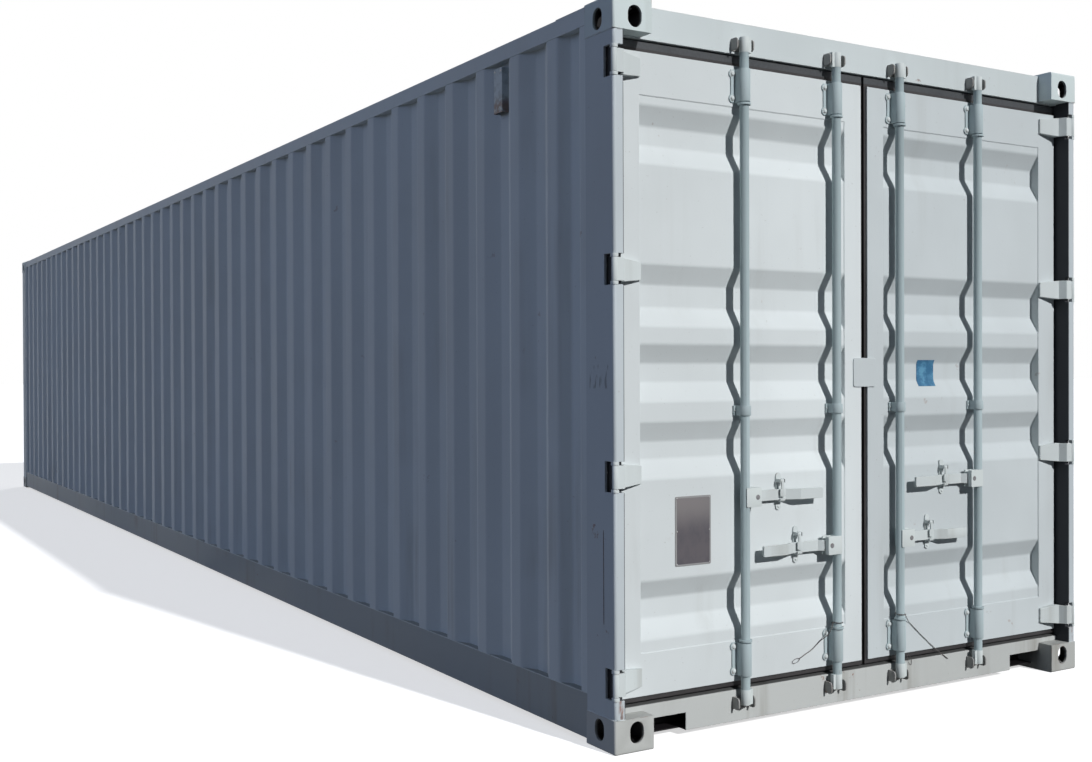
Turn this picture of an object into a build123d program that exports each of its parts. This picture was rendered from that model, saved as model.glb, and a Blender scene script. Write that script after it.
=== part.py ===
from build123d import *
import os
from math import hypot

# A steel shipping container, 40 ft long and of standard height, with double doors at one end.
# X runs across it, Y along it from the door end to the front end, Z up from the ground.
# The origin is on the ground, under the middle of the container. Sizes are in millimetres.

# Overall size
LENGTH = 12192.0
WIDTH = 2438.0
HEIGHT = 2591.0

# Corner castings
CASTING_X = 162.0
CASTING_Y = 178.0
CASTING_Z = 118.0
CASTING_PLATE = 28.0
CASTING_WALL = 18.0
CASTING_BACK = 12.0
CASTING_ROUND = 8.0
TWIST_HOLE_X = 63.5
TWIST_HOLE_Y = 124.0
TWIST_HOLE_FROM_SIDE = 89.0
TWIST_HOLE_FROM_END = 101.5
FACE_HOLE_WIDTH = 57.0
FACE_HOLE_HEIGHT = 76.0
END_HOLE_FROM_SIDE = 91.0
SIDE_HOLE_FROM_END = 96.0
FACE_HOLE_UP = 69.0

# Corner posts
POST_SET = 3.0
POST_WALL = 6.0
POST_ROUND = 10.0
DOOR_POST_X = 45.0
FRONT_POST_X = 55.0

# Side rails
TOP_RAIL_SET = 6.0
TOP_RAIL = 60.0
TOP_RAIL_WALL = 3.0
ROOF_DROP = 8.0
BOTTOM_RAIL_LOW = 16.0
BOTTOM_RAIL_HEIGHT = 160.0
BOTTOM_RAIL_WALL = 4.5
BOTTOM_RAIL_TOP_FLANGE = 48.0
BOTTOM_RAIL_LOW_FLANGE = 30.0

# Folded sheets; the folds are spread evenly, as near to their pitch as fits
WALL_SET = 7.0
WALL_GAUGE = 2.0
WALL_DEPTH = 36.0
WALL_PITCH = 277.0
WALL_SLOPE = 68.0
WALL_FLOOR = 70.0
WALL_FIRST_FOLD = 444.0
END_FOLD_START = 222.0
END_FOLD_SLOPE = 42.0
END_FOLD_FLOOR = 66.0
FRONT_WALL_SET = 12.0
FRONT_WALL_DEPTH = 45.0
FRONT_WALL_PITCH = 250.0
FRONT_WALL_SLOPE = 18.0
FRONT_WALL_FLOOR = 110.0
FRONT_WALL_END_FLAT = 80.0
ROOF_GAUGE = 2.0
ROOF_DEPTH = 20.0
ROOF_PITCH = 209.0
ROOF_SLOPE = 14.0
ROOF_FLOOR = 90.0
ROOF_END_FLAT = 340.0
ROOF_PLATE_LENGTH = 380.0
ROOF_PLATE_WIDTH = 420.0
ROOF_PLATE_GAUGE = 3.0

# Front end frame
FRONT_HEADER_SET = 5.0
FRONT_HEADER_DEPTH = 60.0
FRONT_HEADER_WALL = 4.0
FRONT_SILL_SET = 8.0
FRONT_SILL_DEPTH = 60.0

# Door end frame
HEADER_FACE = 66.0
HEADER_HEIGHT = 115.0
HEADER_DEPTH = 112.0
HEADER_WALL = 4.0
SILL_LOW = 22.0
SILL_LIP = 136.0
SILL_TOP = 148.0
SILL_STEP = 14.0
SILL_WALL = 5.0
NOTCH_WIDTH = 189.0
NOTCH_TOP = 86.0
NOTCH_DEPTH = 40.0

# Floor
FLOOR_TOP = 172.0
FLOOR_THICKNESS = 28.0
FLOOR_EDGE_GAP = 2.0
BEAM_HEIGHT = 122.0
BEAM_FLANGE = 45.0
BEAM_WALL = 4.0
BEAM_PITCH = 318.0

# Door leaves
DOOR_FACE = 70.0
DOOR_THICKNESS = 50.0
DOOR_EDGE_GAP = 9.0
DOOR_LOW_GAP = 20.0
DOOR_TOP_GAP = 43.0
STILE_WIDTH = 104.0
MEETING_STILE_WIDTH = 88.0
DOOR_RAIL_HEIGHT = 150.0
DOOR_CHANNEL_WALL = 5.0
MEETING_GAP_X = 18.0
MEETING_GAP = 34.0
PANEL_SET = 3.0
PANEL_GAUGE = 2.0
PANEL_DEPTH = 36.0
PANEL_SLOPE = 68.0
PANEL_FOLD_HEIGHTS = [207.0, 200.0, 204.0, 218.0, 206.0]
PANEL_FLAT_SHARES = [44.0, 358.0, 73.0, 62.0, 353.0, 32.0]
SEAL_SIDE = 4.0
SEAL_MEETING = 11.0
SEAL_TOP = 38.0
SEAL_LOW = 19.0
SEAL_SET = 8.0
SEAL_DEPTH = 20.0

# Door hinges
HINGE_COUNT = 4
HINGE_FROM_LOW = 69.0
HINGE_FROM_TOP = 58.0
PIN_SET = 11.0
PIN_RADIUS = 6.0
PIN_CLEARANCE = 0.4
KNUCKLE_RADIUS = 10.0
BLADE_HEIGHT = 80.0
BLADE_TIP_HEIGHT = 62.0
BLADE_GAUGE = 8.0
BLADE_ARM_END = 50.0
BLADE_SHOULDER = 66.0
BLADE_SHOULDER_FRONT = 36.0
BLADE_SEAT = 60.0
BLADE_TIP = 157.0
BLADE_TIP_GAUGE = 9.0
LUG_GAP = 1.0
LUG_HEIGHT = 12.0
POCKET_GAP = 6.0
POCKET_PAST_ARM = 12.0

# Locking bars
BAR_LINE_X = 10.0
BAR_OUTER_X = 625.0
BAR_INNER_X = 170.0
BAR_STAND_OFF = 32.0
BAR_RADIUS = 17.0
BAR_ABOVE_KEEPER = 26.0
BAR_BELOW_KEEPER = 6.0
CAM_RADIUS = 18.0
CAM_HEIGHT = 56.0
CAM_NOSE = 27.5
CAM_NOSE_WIDTH = 16.0
COLLAR_RADIUS = 24.0
COLLAR_HEIGHT = 8.0
COLLAR_GAP = 4.0
GUIDE_HEIGHT = 120.0
GUIDE_MIDDLE_HEIGHT = 36.0
GUIDE_MIDDLE_WIDTH = 60.0
GUIDE_RADIUS = 22.0
GUIDE_CLEARANCE = 0.5
GUIDE_PLATE_WIDTH = 96.0
GUIDE_PLATE_GAUGE = 5.0
GUIDE_LOBE = 15.0
GUIDE_WAIST = 8.0
GUIDE_FROM_TOP = 75.0
GUIDE_FROM_LOW = 84.0
GUIDE_MIDDLE_UP = 995.0
KEEPER_PLATE = 4.5
KEEPER_HALF_WIDTH = 40.0
KEEPER_EAR = 6.0
KEEPER_HEIGHT = 44.0
KEEPER_REACH = 38.0
KEEPER_ROUND = 14.0
KEEPER_ABOVE_HEADER_LOW = 31.0
KEEPER_BELOW_SILL_LIP = 44.0

# Handles and what holds them
HANDLE_OUTER_LEFT_UP = 677.0
HANDLE_OUTER_RIGHT_UP = 692.0
HANDLE_INNER_UP = 472.0
HUB_START = -8.0
HUB_REACH = 62.0
HUB_HALF_HEIGHT = 35.0
HUB_FRONT = 18.0
HUB_DEPTH = 40.0
HUB_ROUND = 5.0
HUB_SLOT_START = 22.0
HUB_SLOT_GAP = 2.0
PIVOT_REACH = 44.0
PIVOT_RADIUS = 6.0
HANDLE_FRONT = 38.0
HANDLE_GAUGE = 10.0
HANDLE_HALF_HEIGHT = 20.0
HANDLE_REACH = 374.0
HANDLE_ROUND = 6.0
HANDLE_JOG_START = 68.0
HANDLE_JOG_END = 86.0
HANDLE_HELD_FRONT = 52.0
HANDLE_BEND_START = 208.0
HANDLE_BEND_END = 262.0
HANDLE_TIP_FRONT = 28.0
RETAINER_REACH = 185.0
RETAINER_HALF_WIDTH = 12.0
RETAINER_GAUGE = 6.0
RETAINER_UP = 81.0
RETAINER_DOWN = 58.0
HOOK_GAP = 0.3
HOOK_GAUGE = 7.0
HOOK_LIP_GAUGE = 6.0
HOOK_LIP_HEIGHT = 6.0
HOOK_ROUND = 10.0
EAR_GAUGE = 3.0
EAR_LOW = 45.0
EAR_HEIGHT = 13.0
EAR_FRONT = 8.0
CATCH_PIVOT_UP = 52.0
CATCH_PIVOT_BACK = 7.5
CATCH_PIN_RADIUS = 3.0
CATCH_BOSS_RADIUS = 6.0
CATCH_CLEARANCE = 1.5
CATCH_GAUGE = 5.0
CATCH_TO_HANDLE = 5.5
CATCH_DOWN = 7.0
CATCH_STRAP_HALF_WIDTH = 5.5
CATCH_PAD_HALF_WIDTH = 12.0
CATCH_PAD_UP = 22.0
CATCH_ROUND = 4.0

# Vents high on the side walls
VENT_FROM_END = 824.0
VENT_WIDTH = 66.0
VENT_HEIGHT = 176.0
VENT_BELOW_RAIL = 108.0
VENT_SET = 12.0
VENT_WALL = 2.5

# Planes that many pieces share
HALF_WIDTH = WIDTH / 2
DOOR_END = -LENGTH / 2
FRONT_END = LENGTH / 2
CASTING_TOP_LOW = HEIGHT - CASTING_Z
ROOF_Z = HEIGHT - ROOF_DROP
TOP_RAIL_LOW = ROOF_Z - TOP_RAIL
BOTTOM_RAIL_TOP = BOTTOM_RAIL_LOW + BOTTOM_RAIL_HEIGHT
POST_OPENING = HALF_WIDTH - DOOR_POST_X
CASTING_INNER_X = HALF_WIDTH - CASTING_X
PANEL_FACE = DOOR_FACE + PANEL_SET
HEADER_LOW = ROOF_Z - HEADER_HEIGHT
DOOR_LOW = SILL_TOP + DOOR_LOW_GAP
DOOR_TOP = HEADER_LOW - DOOR_TOP_GAP
PANEL_LOW = DOOR_LOW + DOOR_RAIL_HEIGHT
PANEL_TOP = DOOR_TOP - DOOR_RAIL_HEIGHT
BAR_DEPTH = DOOR_FACE - BAR_STAND_OFF
KEEPER_TOP_Z = HEADER_LOW + KEEPER_ABOVE_HEADER_LOW
KEEPER_LOW_Z = SILL_LIP - KEEPER_BELOW_SILL_LIP
BAR_TOP = KEEPER_TOP_Z + BAR_ABOVE_KEEPER
BAR_LOW = KEEPER_LOW_Z - BAR_BELOW_KEEPER
GUIDE_TOP_Z = DOOR_TOP - GUIDE_FROM_TOP
GUIDE_LOW_Z = DOOR_LOW + GUIDE_FROM_LOW
CATCH_FRONT = HANDLE_HELD_FRONT - CATCH_TO_HANDLE - CATCH_GAUGE
CATCH_PIVOT_DEPTH = CATCH_FRONT + CATCH_PIVOT_BACK
HINGE_LOW = DOOR_LOW + HINGE_FROM_LOW
HINGE_PITCH = (DOOR_TOP - HINGE_FROM_TOP - HINGE_LOW) / (HINGE_COUNT - 1)
HINGE_HEIGHTS = [HINGE_LOW + HINGE_PITCH * i for i in range(HINGE_COUNT)]
POCKET_HALF = BLADE_HEIGHT / 2 + LUG_GAP + LUG_HEIGHT
POCKET_FACE = PIN_SET + BLADE_GAUGE / 2 + POCKET_GAP
POCKET_BACK = BLADE_ARM_END + POCKET_PAST_ARM
LEFT = -1
RIGHT = 1


def save(built, name):
    """Label a finished piece and write its file."""
    built.part.label = name
    export_step(built.part, "parts/" + name + ".step")


def block(x, y, z, mode=Mode.ADD):
    """Add or cut a box, given by the places of its two faces along each axis."""
    with Locations((sum(x) / 2, sum(y) / 2, sum(z) / 2)):
        Box(abs(x[1] - x[0]), abs(y[1] - y[0]), abs(z[1] - z[0]), mode=mode)


def rod(x, y, z, radius, direction=Axis.Z, mode=Mode.ADD):
    """Add or cut a round bar along one axis: the pair among x, y and z gives its ends."""
    ends = {Axis.X: x, Axis.Y: y, Axis.Z: z}[direction]
    middle = sum(ends) / 2
    turn = {Axis.X: (0, 90, 0), Axis.Y: (90, 0, 0), Axis.Z: (0, 0, 0)}[direction]
    centre = {Axis.X: (middle, y, z), Axis.Y: (x, middle, z), Axis.Z: (x, y, middle)}[direction]
    with Locations(Location(centre, turn)):
        Cylinder(radius, abs(ends[1] - ends[0]), mode=mode)


def in_from(side, distance):
    """X of a place so far in from the left or right face."""
    return side * (HALF_WIDTH - distance)


def behind(depth):
    """Y of a place so far behind the door end."""
    return DOOR_END + depth


def before(depth):
    """Y of a place so far in from the front end."""
    return FRONT_END - depth


def offset_line(points, distance):
    """The same bent line moved to its left by a distance, with mitred bends."""
    lines = []
    for (x0, y0), (x1, y1) in zip(points, points[1:]):
        run = hypot(x1 - x0, y1 - y0)
        lines.append((-(y1 - y0) / run, (x1 - x0) / run))
    normals = [lines[0]] + lines + [lines[-1]]
    moved = []
    for (x, y), one, two in zip(points, normals, normals[1:]):
        share = distance / (1 + one[0] * two[0] + one[1] * two[1])
        moved.append((x + (one[0] + two[0]) * share, y + (one[1] + two[1]) * share))
    return moved


def folded(start, stop, folds, depth):
    """Outer line of a folded sheet, as steps along it and inward."""
    line = [(start, 0)]
    for begin, floor_begin, floor_end, end in folds:
        line += [(begin, 0), (floor_begin, depth), (floor_end, depth), (end, 0)]
    return line + [(stop, 0)]


def sheet(line, gauge):
    """Closed outline of a sheet whose outer side is the line, thickened inward."""
    return line + offset_line(line, gauge)[::-1]


def spread(start, stop, pitch):
    """Evenly spaced places from start to stop, as near to the pitch as fits."""
    steps = max(1, round((stop - start) / pitch))
    return [start + (stop - start) * i / steps for i in range(steps + 1)]


def folds_at(starts, slope, floor):
    """Folds that begin at these places, each a slope in, a floor and a slope out."""
    return [(s, s + slope, s + slope + floor, s + 2 * slope + floor) for s in starts]


def spread_folds(start, stop, pitch, slope, floor):
    """Evenly spaced folds that fill a stretch from start to stop."""
    return folds_at(spread(start, stop - 2 * slope - floor, pitch), slope, floor)


def cut_castings(low, top, y):
    """Cut away the room that two castings take at one end."""
    for side in (LEFT, RIGHT):
        block((in_from(side, 0), in_from(side, CASTING_X)), y, (low, top), mode=Mode.SUBTRACT)


def make_bottom_castings():
    corner = (HALF_WIDTH, DOOR_END, 0)
    with BuildPart() as built:
        block((HALF_WIDTH, CASTING_INNER_X), (DOOR_END, behind(CASTING_Y)), (0, CASTING_Z))
        fillet(built.edges().sort_by_distance(corner)[:3], CASTING_ROUND)
        block(
            (in_from(RIGHT, CASTING_WALL), in_from(RIGHT, CASTING_X - CASTING_BACK)),
            (behind(CASTING_WALL), behind(CASTING_Y - CASTING_BACK)),
            (CASTING_PLATE, CASTING_Z - CASTING_BACK),
            mode=Mode.SUBTRACT,
        )
        hole_x = in_from(RIGHT, TWIST_HOLE_FROM_SIDE)
        hole_y = behind(TWIST_HOLE_FROM_END)
        with BuildSketch(Plane.XY):
            with Locations((hole_x, hole_y)):
                SlotOverall(TWIST_HOLE_Y, TWIST_HOLE_X, rotation=90)
        extrude(amount=CASTING_PLATE, mode=Mode.SUBTRACT)
        with BuildSketch(Plane.XZ.offset(-DOOR_END)):
            with Locations((in_from(RIGHT, END_HOLE_FROM_SIDE), FACE_HOLE_UP)):
                SlotOverall(FACE_HOLE_HEIGHT, FACE_HOLE_WIDTH, rotation=90)
        extrude(amount=-CASTING_WALL, mode=Mode.SUBTRACT)
        with BuildSketch(Plane.YZ.offset(HALF_WIDTH)):
            with Locations((behind(SIDE_HOLE_FROM_END), FACE_HOLE_UP)):
                SlotOverall(FACE_HOLE_HEIGHT, FACE_HOLE_WIDTH, rotation=90)
        extrude(amount=-CASTING_WALL, mode=Mode.SUBTRACT)
        mirror(about=Plane.YZ)
        mirror(about=Plane.XZ)
    return built


def make_top_castings(bottom):
    with BuildPart() as built:
        mirror(bottom.part, about=Plane.XY.offset(HEIGHT / 2))
    return built


def make_door_post(side):
    """Hollow post with a pocket at each hinge, open ended against the castings."""
    outer = in_from(side, POST_SET)
    front = behind(POST_SET)
    back = behind(CASTING_Y)
    wall_in = DOOR_POST_X - POST_WALL
    wall_out = POST_SET + POST_WALL
    wall_back = CASTING_Y - POST_WALL
    with BuildPart() as built:
        block((in_from(side, DOOR_POST_X), outer), (front, back), (CASTING_Z, CASTING_TOP_LOW))
        corner = built.edges().filter_by(Axis.Z).sort_by_distance((outer, front, HEIGHT / 2))[0]
        fillet(corner, POST_ROUND)
        block(
            (in_from(side, wall_in), in_from(side, POCKET_FACE + POST_WALL)),
            (behind(POCKET_FACE + POST_WALL), behind(wall_back)),
            (CASTING_Z, CASTING_TOP_LOW),
            mode=Mode.SUBTRACT,
        )
        block(
            (in_from(side, wall_in), in_from(side, wall_out)),
            (behind(POCKET_BACK + POST_WALL), behind(wall_back)),
            (CASTING_Z, CASTING_TOP_LOW),
            mode=Mode.SUBTRACT,
        )
        levels = [CASTING_Z]
        for z in HINGE_HEIGHTS:
            levels += [z - POCKET_HALF - POST_WALL, z + POCKET_HALF + POST_WALL]
        levels.append(CASTING_TOP_LOW)
        for low, top in zip(levels[::2], levels[1::2]):
            block(
                (in_from(side, wall_in), in_from(side, wall_out)),
                (behind(wall_out), behind(wall_back)),
                (low, top),
                mode=Mode.SUBTRACT,
            )
        for z in HINGE_HEIGHTS:
            tall = (z - POCKET_HALF, z + POCKET_HALF)
            block((in_from(side, 0), in_from(side, DOOR_POST_X)), (behind(0), behind(POCKET_FACE)), tall,
                  mode=Mode.SUBTRACT)
            block((in_from(side, 0), in_from(side, POCKET_FACE)), (behind(0), behind(POCKET_BACK)), tall,
                  mode=Mode.SUBTRACT)
    return built


def make_front_posts():
    with BuildPart() as built:
        block(
            (in_from(RIGHT, FRONT_POST_X), in_from(RIGHT, POST_SET)),
            (before(POST_SET), before(CASTING_Y)),
            (CASTING_Z, CASTING_TOP_LOW),
        )
        place = (in_from(RIGHT, POST_SET), before(POST_SET), HEIGHT / 2)
        fillet(built.edges().filter_by(Axis.Z).sort_by_distance(place)[0], POST_ROUND)
        block(
            (in_from(RIGHT, FRONT_POST_X - POST_WALL), in_from(RIGHT, POST_SET + POST_WALL)),
            (before(POST_SET + POST_WALL), before(CASTING_Y - POST_WALL)),
            (CASTING_Z, CASTING_TOP_LOW),
            mode=Mode.SUBTRACT,
        )
        mirror(about=Plane.YZ)
    return built


def make_top_rails():
    along = (behind(CASTING_Y), before(CASTING_Y))
    across = (in_from(RIGHT, TOP_RAIL_SET), in_from(RIGHT, TOP_RAIL_SET + TOP_RAIL))
    with BuildPart() as built:
        block(across, along, (TOP_RAIL_LOW, ROOF_Z))
        block(
            (across[0] - TOP_RAIL_WALL, across[1] + TOP_RAIL_WALL),
            along,
            (TOP_RAIL_LOW + TOP_RAIL_WALL, ROOF_Z - TOP_RAIL_WALL),
            mode=Mode.SUBTRACT,
        )
        mirror(about=Plane.YZ)
    return built


def make_bottom_rails():
    """Channels with their backs outward, between the castings."""
    along = (behind(CASTING_Y), before(CASTING_Y))
    face = in_from(RIGHT, WALL_SET)
    web = in_from(RIGHT, WALL_SET + BOTTOM_RAIL_WALL)
    with BuildPart() as built:
        block((face, web), along, (BOTTOM_RAIL_LOW, BOTTOM_RAIL_TOP))
        for flange, level, inside in (
            (BOTTOM_RAIL_TOP_FLANGE, BOTTOM_RAIL_TOP, BOTTOM_RAIL_TOP - BOTTOM_RAIL_WALL),
            (BOTTOM_RAIL_LOW_FLANGE, BOTTOM_RAIL_LOW, BOTTOM_RAIL_LOW + BOTTOM_RAIL_WALL),
        ):
            block((face, face - flange), along, (inside, level))
        mirror(about=Plane.YZ)
    return built


def side_folds():
    """Folds of a side wall, measured from the door end, with a narrow one at each end."""
    main = spread_folds(WALL_FIRST_FOLD, LENGTH - WALL_FIRST_FOLD, WALL_PITCH, WALL_SLOPE, WALL_FLOOR)
    last_start = LENGTH - END_FOLD_START - 2 * END_FOLD_SLOPE - END_FOLD_FLOOR
    first, last = folds_at([END_FOLD_START, last_start], END_FOLD_SLOPE, END_FOLD_FLOOR)
    return [first] + main + [last]


def make_side_wall(side):
    line = folded(CASTING_Y, LENGTH - CASTING_Y, side_folds(), WALL_DEPTH)
    points = [(in_from(side, WALL_SET + inward), behind(along)) for along, inward in sheet(line, WALL_GAUGE)]
    with BuildPart() as built:
        with BuildSketch(Plane.XY.offset(BOTTOM_RAIL_TOP)):
            Polygon(*points, align=None)
        extrude(amount=TOP_RAIL_LOW - BOTTOM_RAIL_TOP)
    return built


def make_front_wall():
    width = 2 * (HALF_WIDTH - FRONT_POST_X)
    ends = (FRONT_WALL_END_FLAT, width - FRONT_WALL_END_FLAT)
    folds = spread_folds(*ends, FRONT_WALL_PITCH, FRONT_WALL_SLOPE, FRONT_WALL_FLOOR)
    outline = sheet(folded(0, width, folds, FRONT_WALL_DEPTH), WALL_GAUGE)
    points = [(along - width / 2, before(FRONT_WALL_SET + inward)) for along, inward in outline]
    with BuildPart() as built:
        with BuildSketch(Plane.XY.offset(FLOOR_TOP)):
            Polygon(*points, align=None)
        extrude(amount=CASTING_TOP_LOW - FLOOR_TOP)
    return built


def make_roof_panel():
    """Roof sheet between the rails, its ribs level with their tops."""
    start = HEADER_FACE + HEADER_DEPTH
    stop = FRONT_HEADER_SET + FRONT_HEADER_DEPTH
    length = LENGTH - start - stop
    folds = spread_folds(ROOF_END_FLAT, length - ROOF_END_FLAT, ROOF_PITCH, ROOF_SLOPE, ROOF_FLOOR)
    outline = sheet(folded(0, length, folds, ROOF_DEPTH), ROOF_GAUGE)
    points = [(behind(start + along), ROOF_Z - inward) for along, inward in outline]
    half = HALF_WIDTH - TOP_RAIL_SET - TOP_RAIL
    with BuildPart() as built:
        with BuildSketch(Plane.YZ.offset(-half)):
            Polygon(*points, align=None)
        extrude(amount=2 * half)
        cut_castings(CASTING_TOP_LOW, HEIGHT, (DOOR_END, behind(CASTING_Y)))
        cut_castings(CASTING_TOP_LOW, HEIGHT, (before(CASTING_Y), FRONT_END))
    return built


def make_roof_corner_plates():
    """Flat plates laid on the roof beside each top casting."""
    inner = CASTING_INNER_X - ROOF_PLATE_WIDTH + CASTING_X
    with BuildPart() as built:
        block(
            (inner, in_from(RIGHT, TOP_RAIL_SET)),
            (behind(CASTING_Y), behind(ROOF_PLATE_LENGTH)),
            (ROOF_Z, ROOF_Z + ROOF_PLATE_GAUGE),
        )
        mirror(about=Plane.YZ)
        mirror(about=Plane.XZ)
    return built


def make_door_header():
    back = HEADER_FACE + HEADER_DEPTH
    with BuildPart() as built:
        block((-POST_OPENING, POST_OPENING), (behind(HEADER_FACE), behind(back)), (HEADER_LOW, ROOF_Z))
        block(
            (-POST_OPENING, POST_OPENING),
            (behind(HEADER_FACE + HEADER_WALL), behind(back - HEADER_WALL)),
            (HEADER_LOW + HEADER_WALL, ROOF_Z - HEADER_WALL),
            mode=Mode.SUBTRACT,
        )
        cut_castings(CASTING_TOP_LOW, HEIGHT, (DOOR_END, behind(CASTING_Y)))
    return built


def make_door_sill():
    """Hollow sill: a slope under the doors, a step up to the floor and a notch beside each casting."""
    profile = [
        (behind(HEADER_FACE), SILL_LOW),
        (behind(CASTING_Y), SILL_LOW),
        (behind(CASTING_Y), FLOOR_TOP),
        (behind(DOOR_FACE + DOOR_THICKNESS + SILL_STEP), FLOOR_TOP),
        (behind(DOOR_FACE + DOOR_THICKNESS), SILL_TOP),
        (behind(HEADER_FACE), SILL_LIP),
    ]
    with BuildPart() as built:
        with BuildSketch(Plane.YZ.offset(-POST_OPENING)) as section:
            Polygon(*profile, align=None)
            offset(section.faces(), amount=-SILL_WALL, kind=Kind.INTERSECTION, mode=Mode.SUBTRACT)
        extrude(amount=2 * POST_OPENING)
        cut_castings(0, CASTING_Z, (DOOR_END, behind(CASTING_Y)))
        for side in (LEFT, RIGHT):
            block(
                (side * CASTING_INNER_X, side * (CASTING_INNER_X - NOTCH_WIDTH)),
                (behind(HEADER_FACE), behind(HEADER_FACE + NOTCH_DEPTH)),
                (SILL_LOW, NOTCH_TOP),
                mode=Mode.SUBTRACT,
            )
    return built


def make_front_header():
    with BuildPart() as built:
        block(
            (-CASTING_INNER_X, CASTING_INNER_X),
            (before(FRONT_HEADER_SET), before(FRONT_HEADER_SET + FRONT_HEADER_DEPTH)),
            (CASTING_TOP_LOW, ROOF_Z),
        )
        block(
            (-CASTING_INNER_X, CASTING_INNER_X),
            (before(FRONT_HEADER_SET + FRONT_HEADER_WALL),
             before(FRONT_HEADER_SET + FRONT_HEADER_DEPTH - FRONT_HEADER_WALL)),
            (CASTING_TOP_LOW + FRONT_HEADER_WALL, ROOF_Z - FRONT_HEADER_WALL),
            mode=Mode.SUBTRACT,
        )
    return built


def make_front_sill():
    half = HALF_WIDTH - FRONT_POST_X
    with BuildPart() as built:
        block(
            (-half, half),
            (before(FRONT_SILL_SET), before(FRONT_SILL_SET + FRONT_SILL_DEPTH)),
            (SILL_LOW, FLOOR_TOP),
        )
        block(
            (-half, half),
            (before(FRONT_SILL_SET + SILL_WALL), before(FRONT_SILL_SET + FRONT_SILL_DEPTH - SILL_WALL)),
            (SILL_LOW + SILL_WALL, FLOOR_TOP - SILL_WALL),
            mode=Mode.SUBTRACT,
        )
        cut_castings(0, CASTING_Z, (before(CASTING_Y), FRONT_END))
    return built


def make_floor_boards():
    half = HALF_WIDTH - WALL_SET - BOTTOM_RAIL_TOP_FLANGE - FLOOR_EDGE_GAP
    with BuildPart() as built:
        block(
            (-half, half),
            (behind(CASTING_Y), before(FRONT_SILL_SET + FRONT_SILL_DEPTH)),
            (FLOOR_TOP - FLOOR_THICKNESS, FLOOR_TOP),
        )
    return built


def make_floor_beams():
    """Channels across the container under its floor, from rail to rail."""
    half = HALF_WIDTH - WALL_SET - BOTTOM_RAIL_WALL
    top = FLOOR_TOP - FLOOR_THICKNESS
    middle = top - BEAM_HEIGHT / 2
    places = spread(behind(CASTING_Y + BEAM_FLANGE), before(CASTING_Y + BEAM_FLANGE), BEAM_PITCH)
    with BuildPart() as built:
        with BuildSketch(Plane.YZ.offset(-half)):
            with Locations(*[(y, middle) for y in places]):
                Rectangle(BEAM_FLANGE, BEAM_HEIGHT)
            with Locations(*[(y + BEAM_WALL, middle) for y in places]):
                Rectangle(BEAM_FLANGE, BEAM_HEIGHT - 2 * BEAM_WALL, mode=Mode.SUBTRACT)
        extrude(amount=2 * half)
    return built


def make_hinge_lugs():
    """Pairs of lugs in the posts' pockets, each pair with its pin."""
    near = PIN_SET - KNUCKLE_RADIUS
    with BuildPart() as built:
        for side in (LEFT, RIGHT):
            for z in HINGE_HEIGHTS:
                for up in (-1, 1):
                    low = z + up * (BLADE_HEIGHT / 2 + LUG_GAP)
                    block(
                        (in_from(side, PIN_SET), in_from(side, POCKET_FACE)),
                        (behind(near), behind(POCKET_FACE)),
                        (low, low + up * LUG_HEIGHT),
                    )
                    block(
                        (in_from(side, near), in_from(side, POCKET_FACE)),
                        (behind(PIN_SET), behind(POCKET_FACE)),
                        (low, low + up * LUG_HEIGHT),
                    )
                    rod(in_from(side, PIN_SET), behind(PIN_SET), (low, low + up * LUG_HEIGHT), KNUCKLE_RADIUS)
                rod(in_from(side, PIN_SET), behind(PIN_SET), (z - POCKET_HALF, z + POCKET_HALF), PIN_RADIUS)
    return built


def make_hinge_blades(side):
    """Four blades of one door: a knuckle, an arm past the post and a wedge on the door's face."""
    arm_front = PIN_SET - BLADE_GAUGE / 2
    arm_back = PIN_SET + BLADE_GAUGE / 2
    outline = [
        (PIN_SET, arm_front),
        (BLADE_ARM_END, arm_front),
        (BLADE_SHOULDER, BLADE_SHOULDER_FRONT),
        (BLADE_TIP, DOOR_FACE - BLADE_TIP_GAUGE),
        (BLADE_TIP, DOOR_FACE),
        (BLADE_SEAT, DOOR_FACE),
        (BLADE_ARM_END, arm_back),
        (PIN_SET, arm_back),
    ]
    arm = [(in_from(side, inward), behind(depth)) for inward, depth in outline]
    heights = [(0, BLADE_HEIGHT / 2), (BLADE_SHOULDER, BLADE_HEIGHT / 2), (BLADE_TIP, BLADE_TIP_HEIGHT / 2)]
    taper = [(in_from(side, inward), up) for inward, up in heights]
    with BuildPart() as blade:
        with BuildSketch(Plane.XY.offset(-BLADE_HEIGHT / 2)):
            Polygon(*arm, align=None)
            with Locations((in_from(side, PIN_SET), behind(PIN_SET))):
                Circle(KNUCKLE_RADIUS)
                Circle(PIN_RADIUS + PIN_CLEARANCE, mode=Mode.SUBTRACT)
        extrude(amount=BLADE_HEIGHT)
        with BuildSketch(Plane.XZ.offset(-DOOR_END)):
            Polygon(*taper, *[(x, -up) for x, up in taper[::-1]], align=None)
        extrude(amount=-2 * DOOR_FACE, mode=Mode.INTERSECT)
    with BuildPart() as built:
        with Locations(*[(0, 0, z) for z in HINGE_HEIGHTS]):
            add(blade.part)
    return built


def leaf_edges(side):
    """X of a door's hinge edge and of its meeting edge."""
    return in_from(side, DOOR_POST_X + DOOR_EDGE_GAP), MEETING_GAP_X + side * MEETING_GAP / 2


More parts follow.
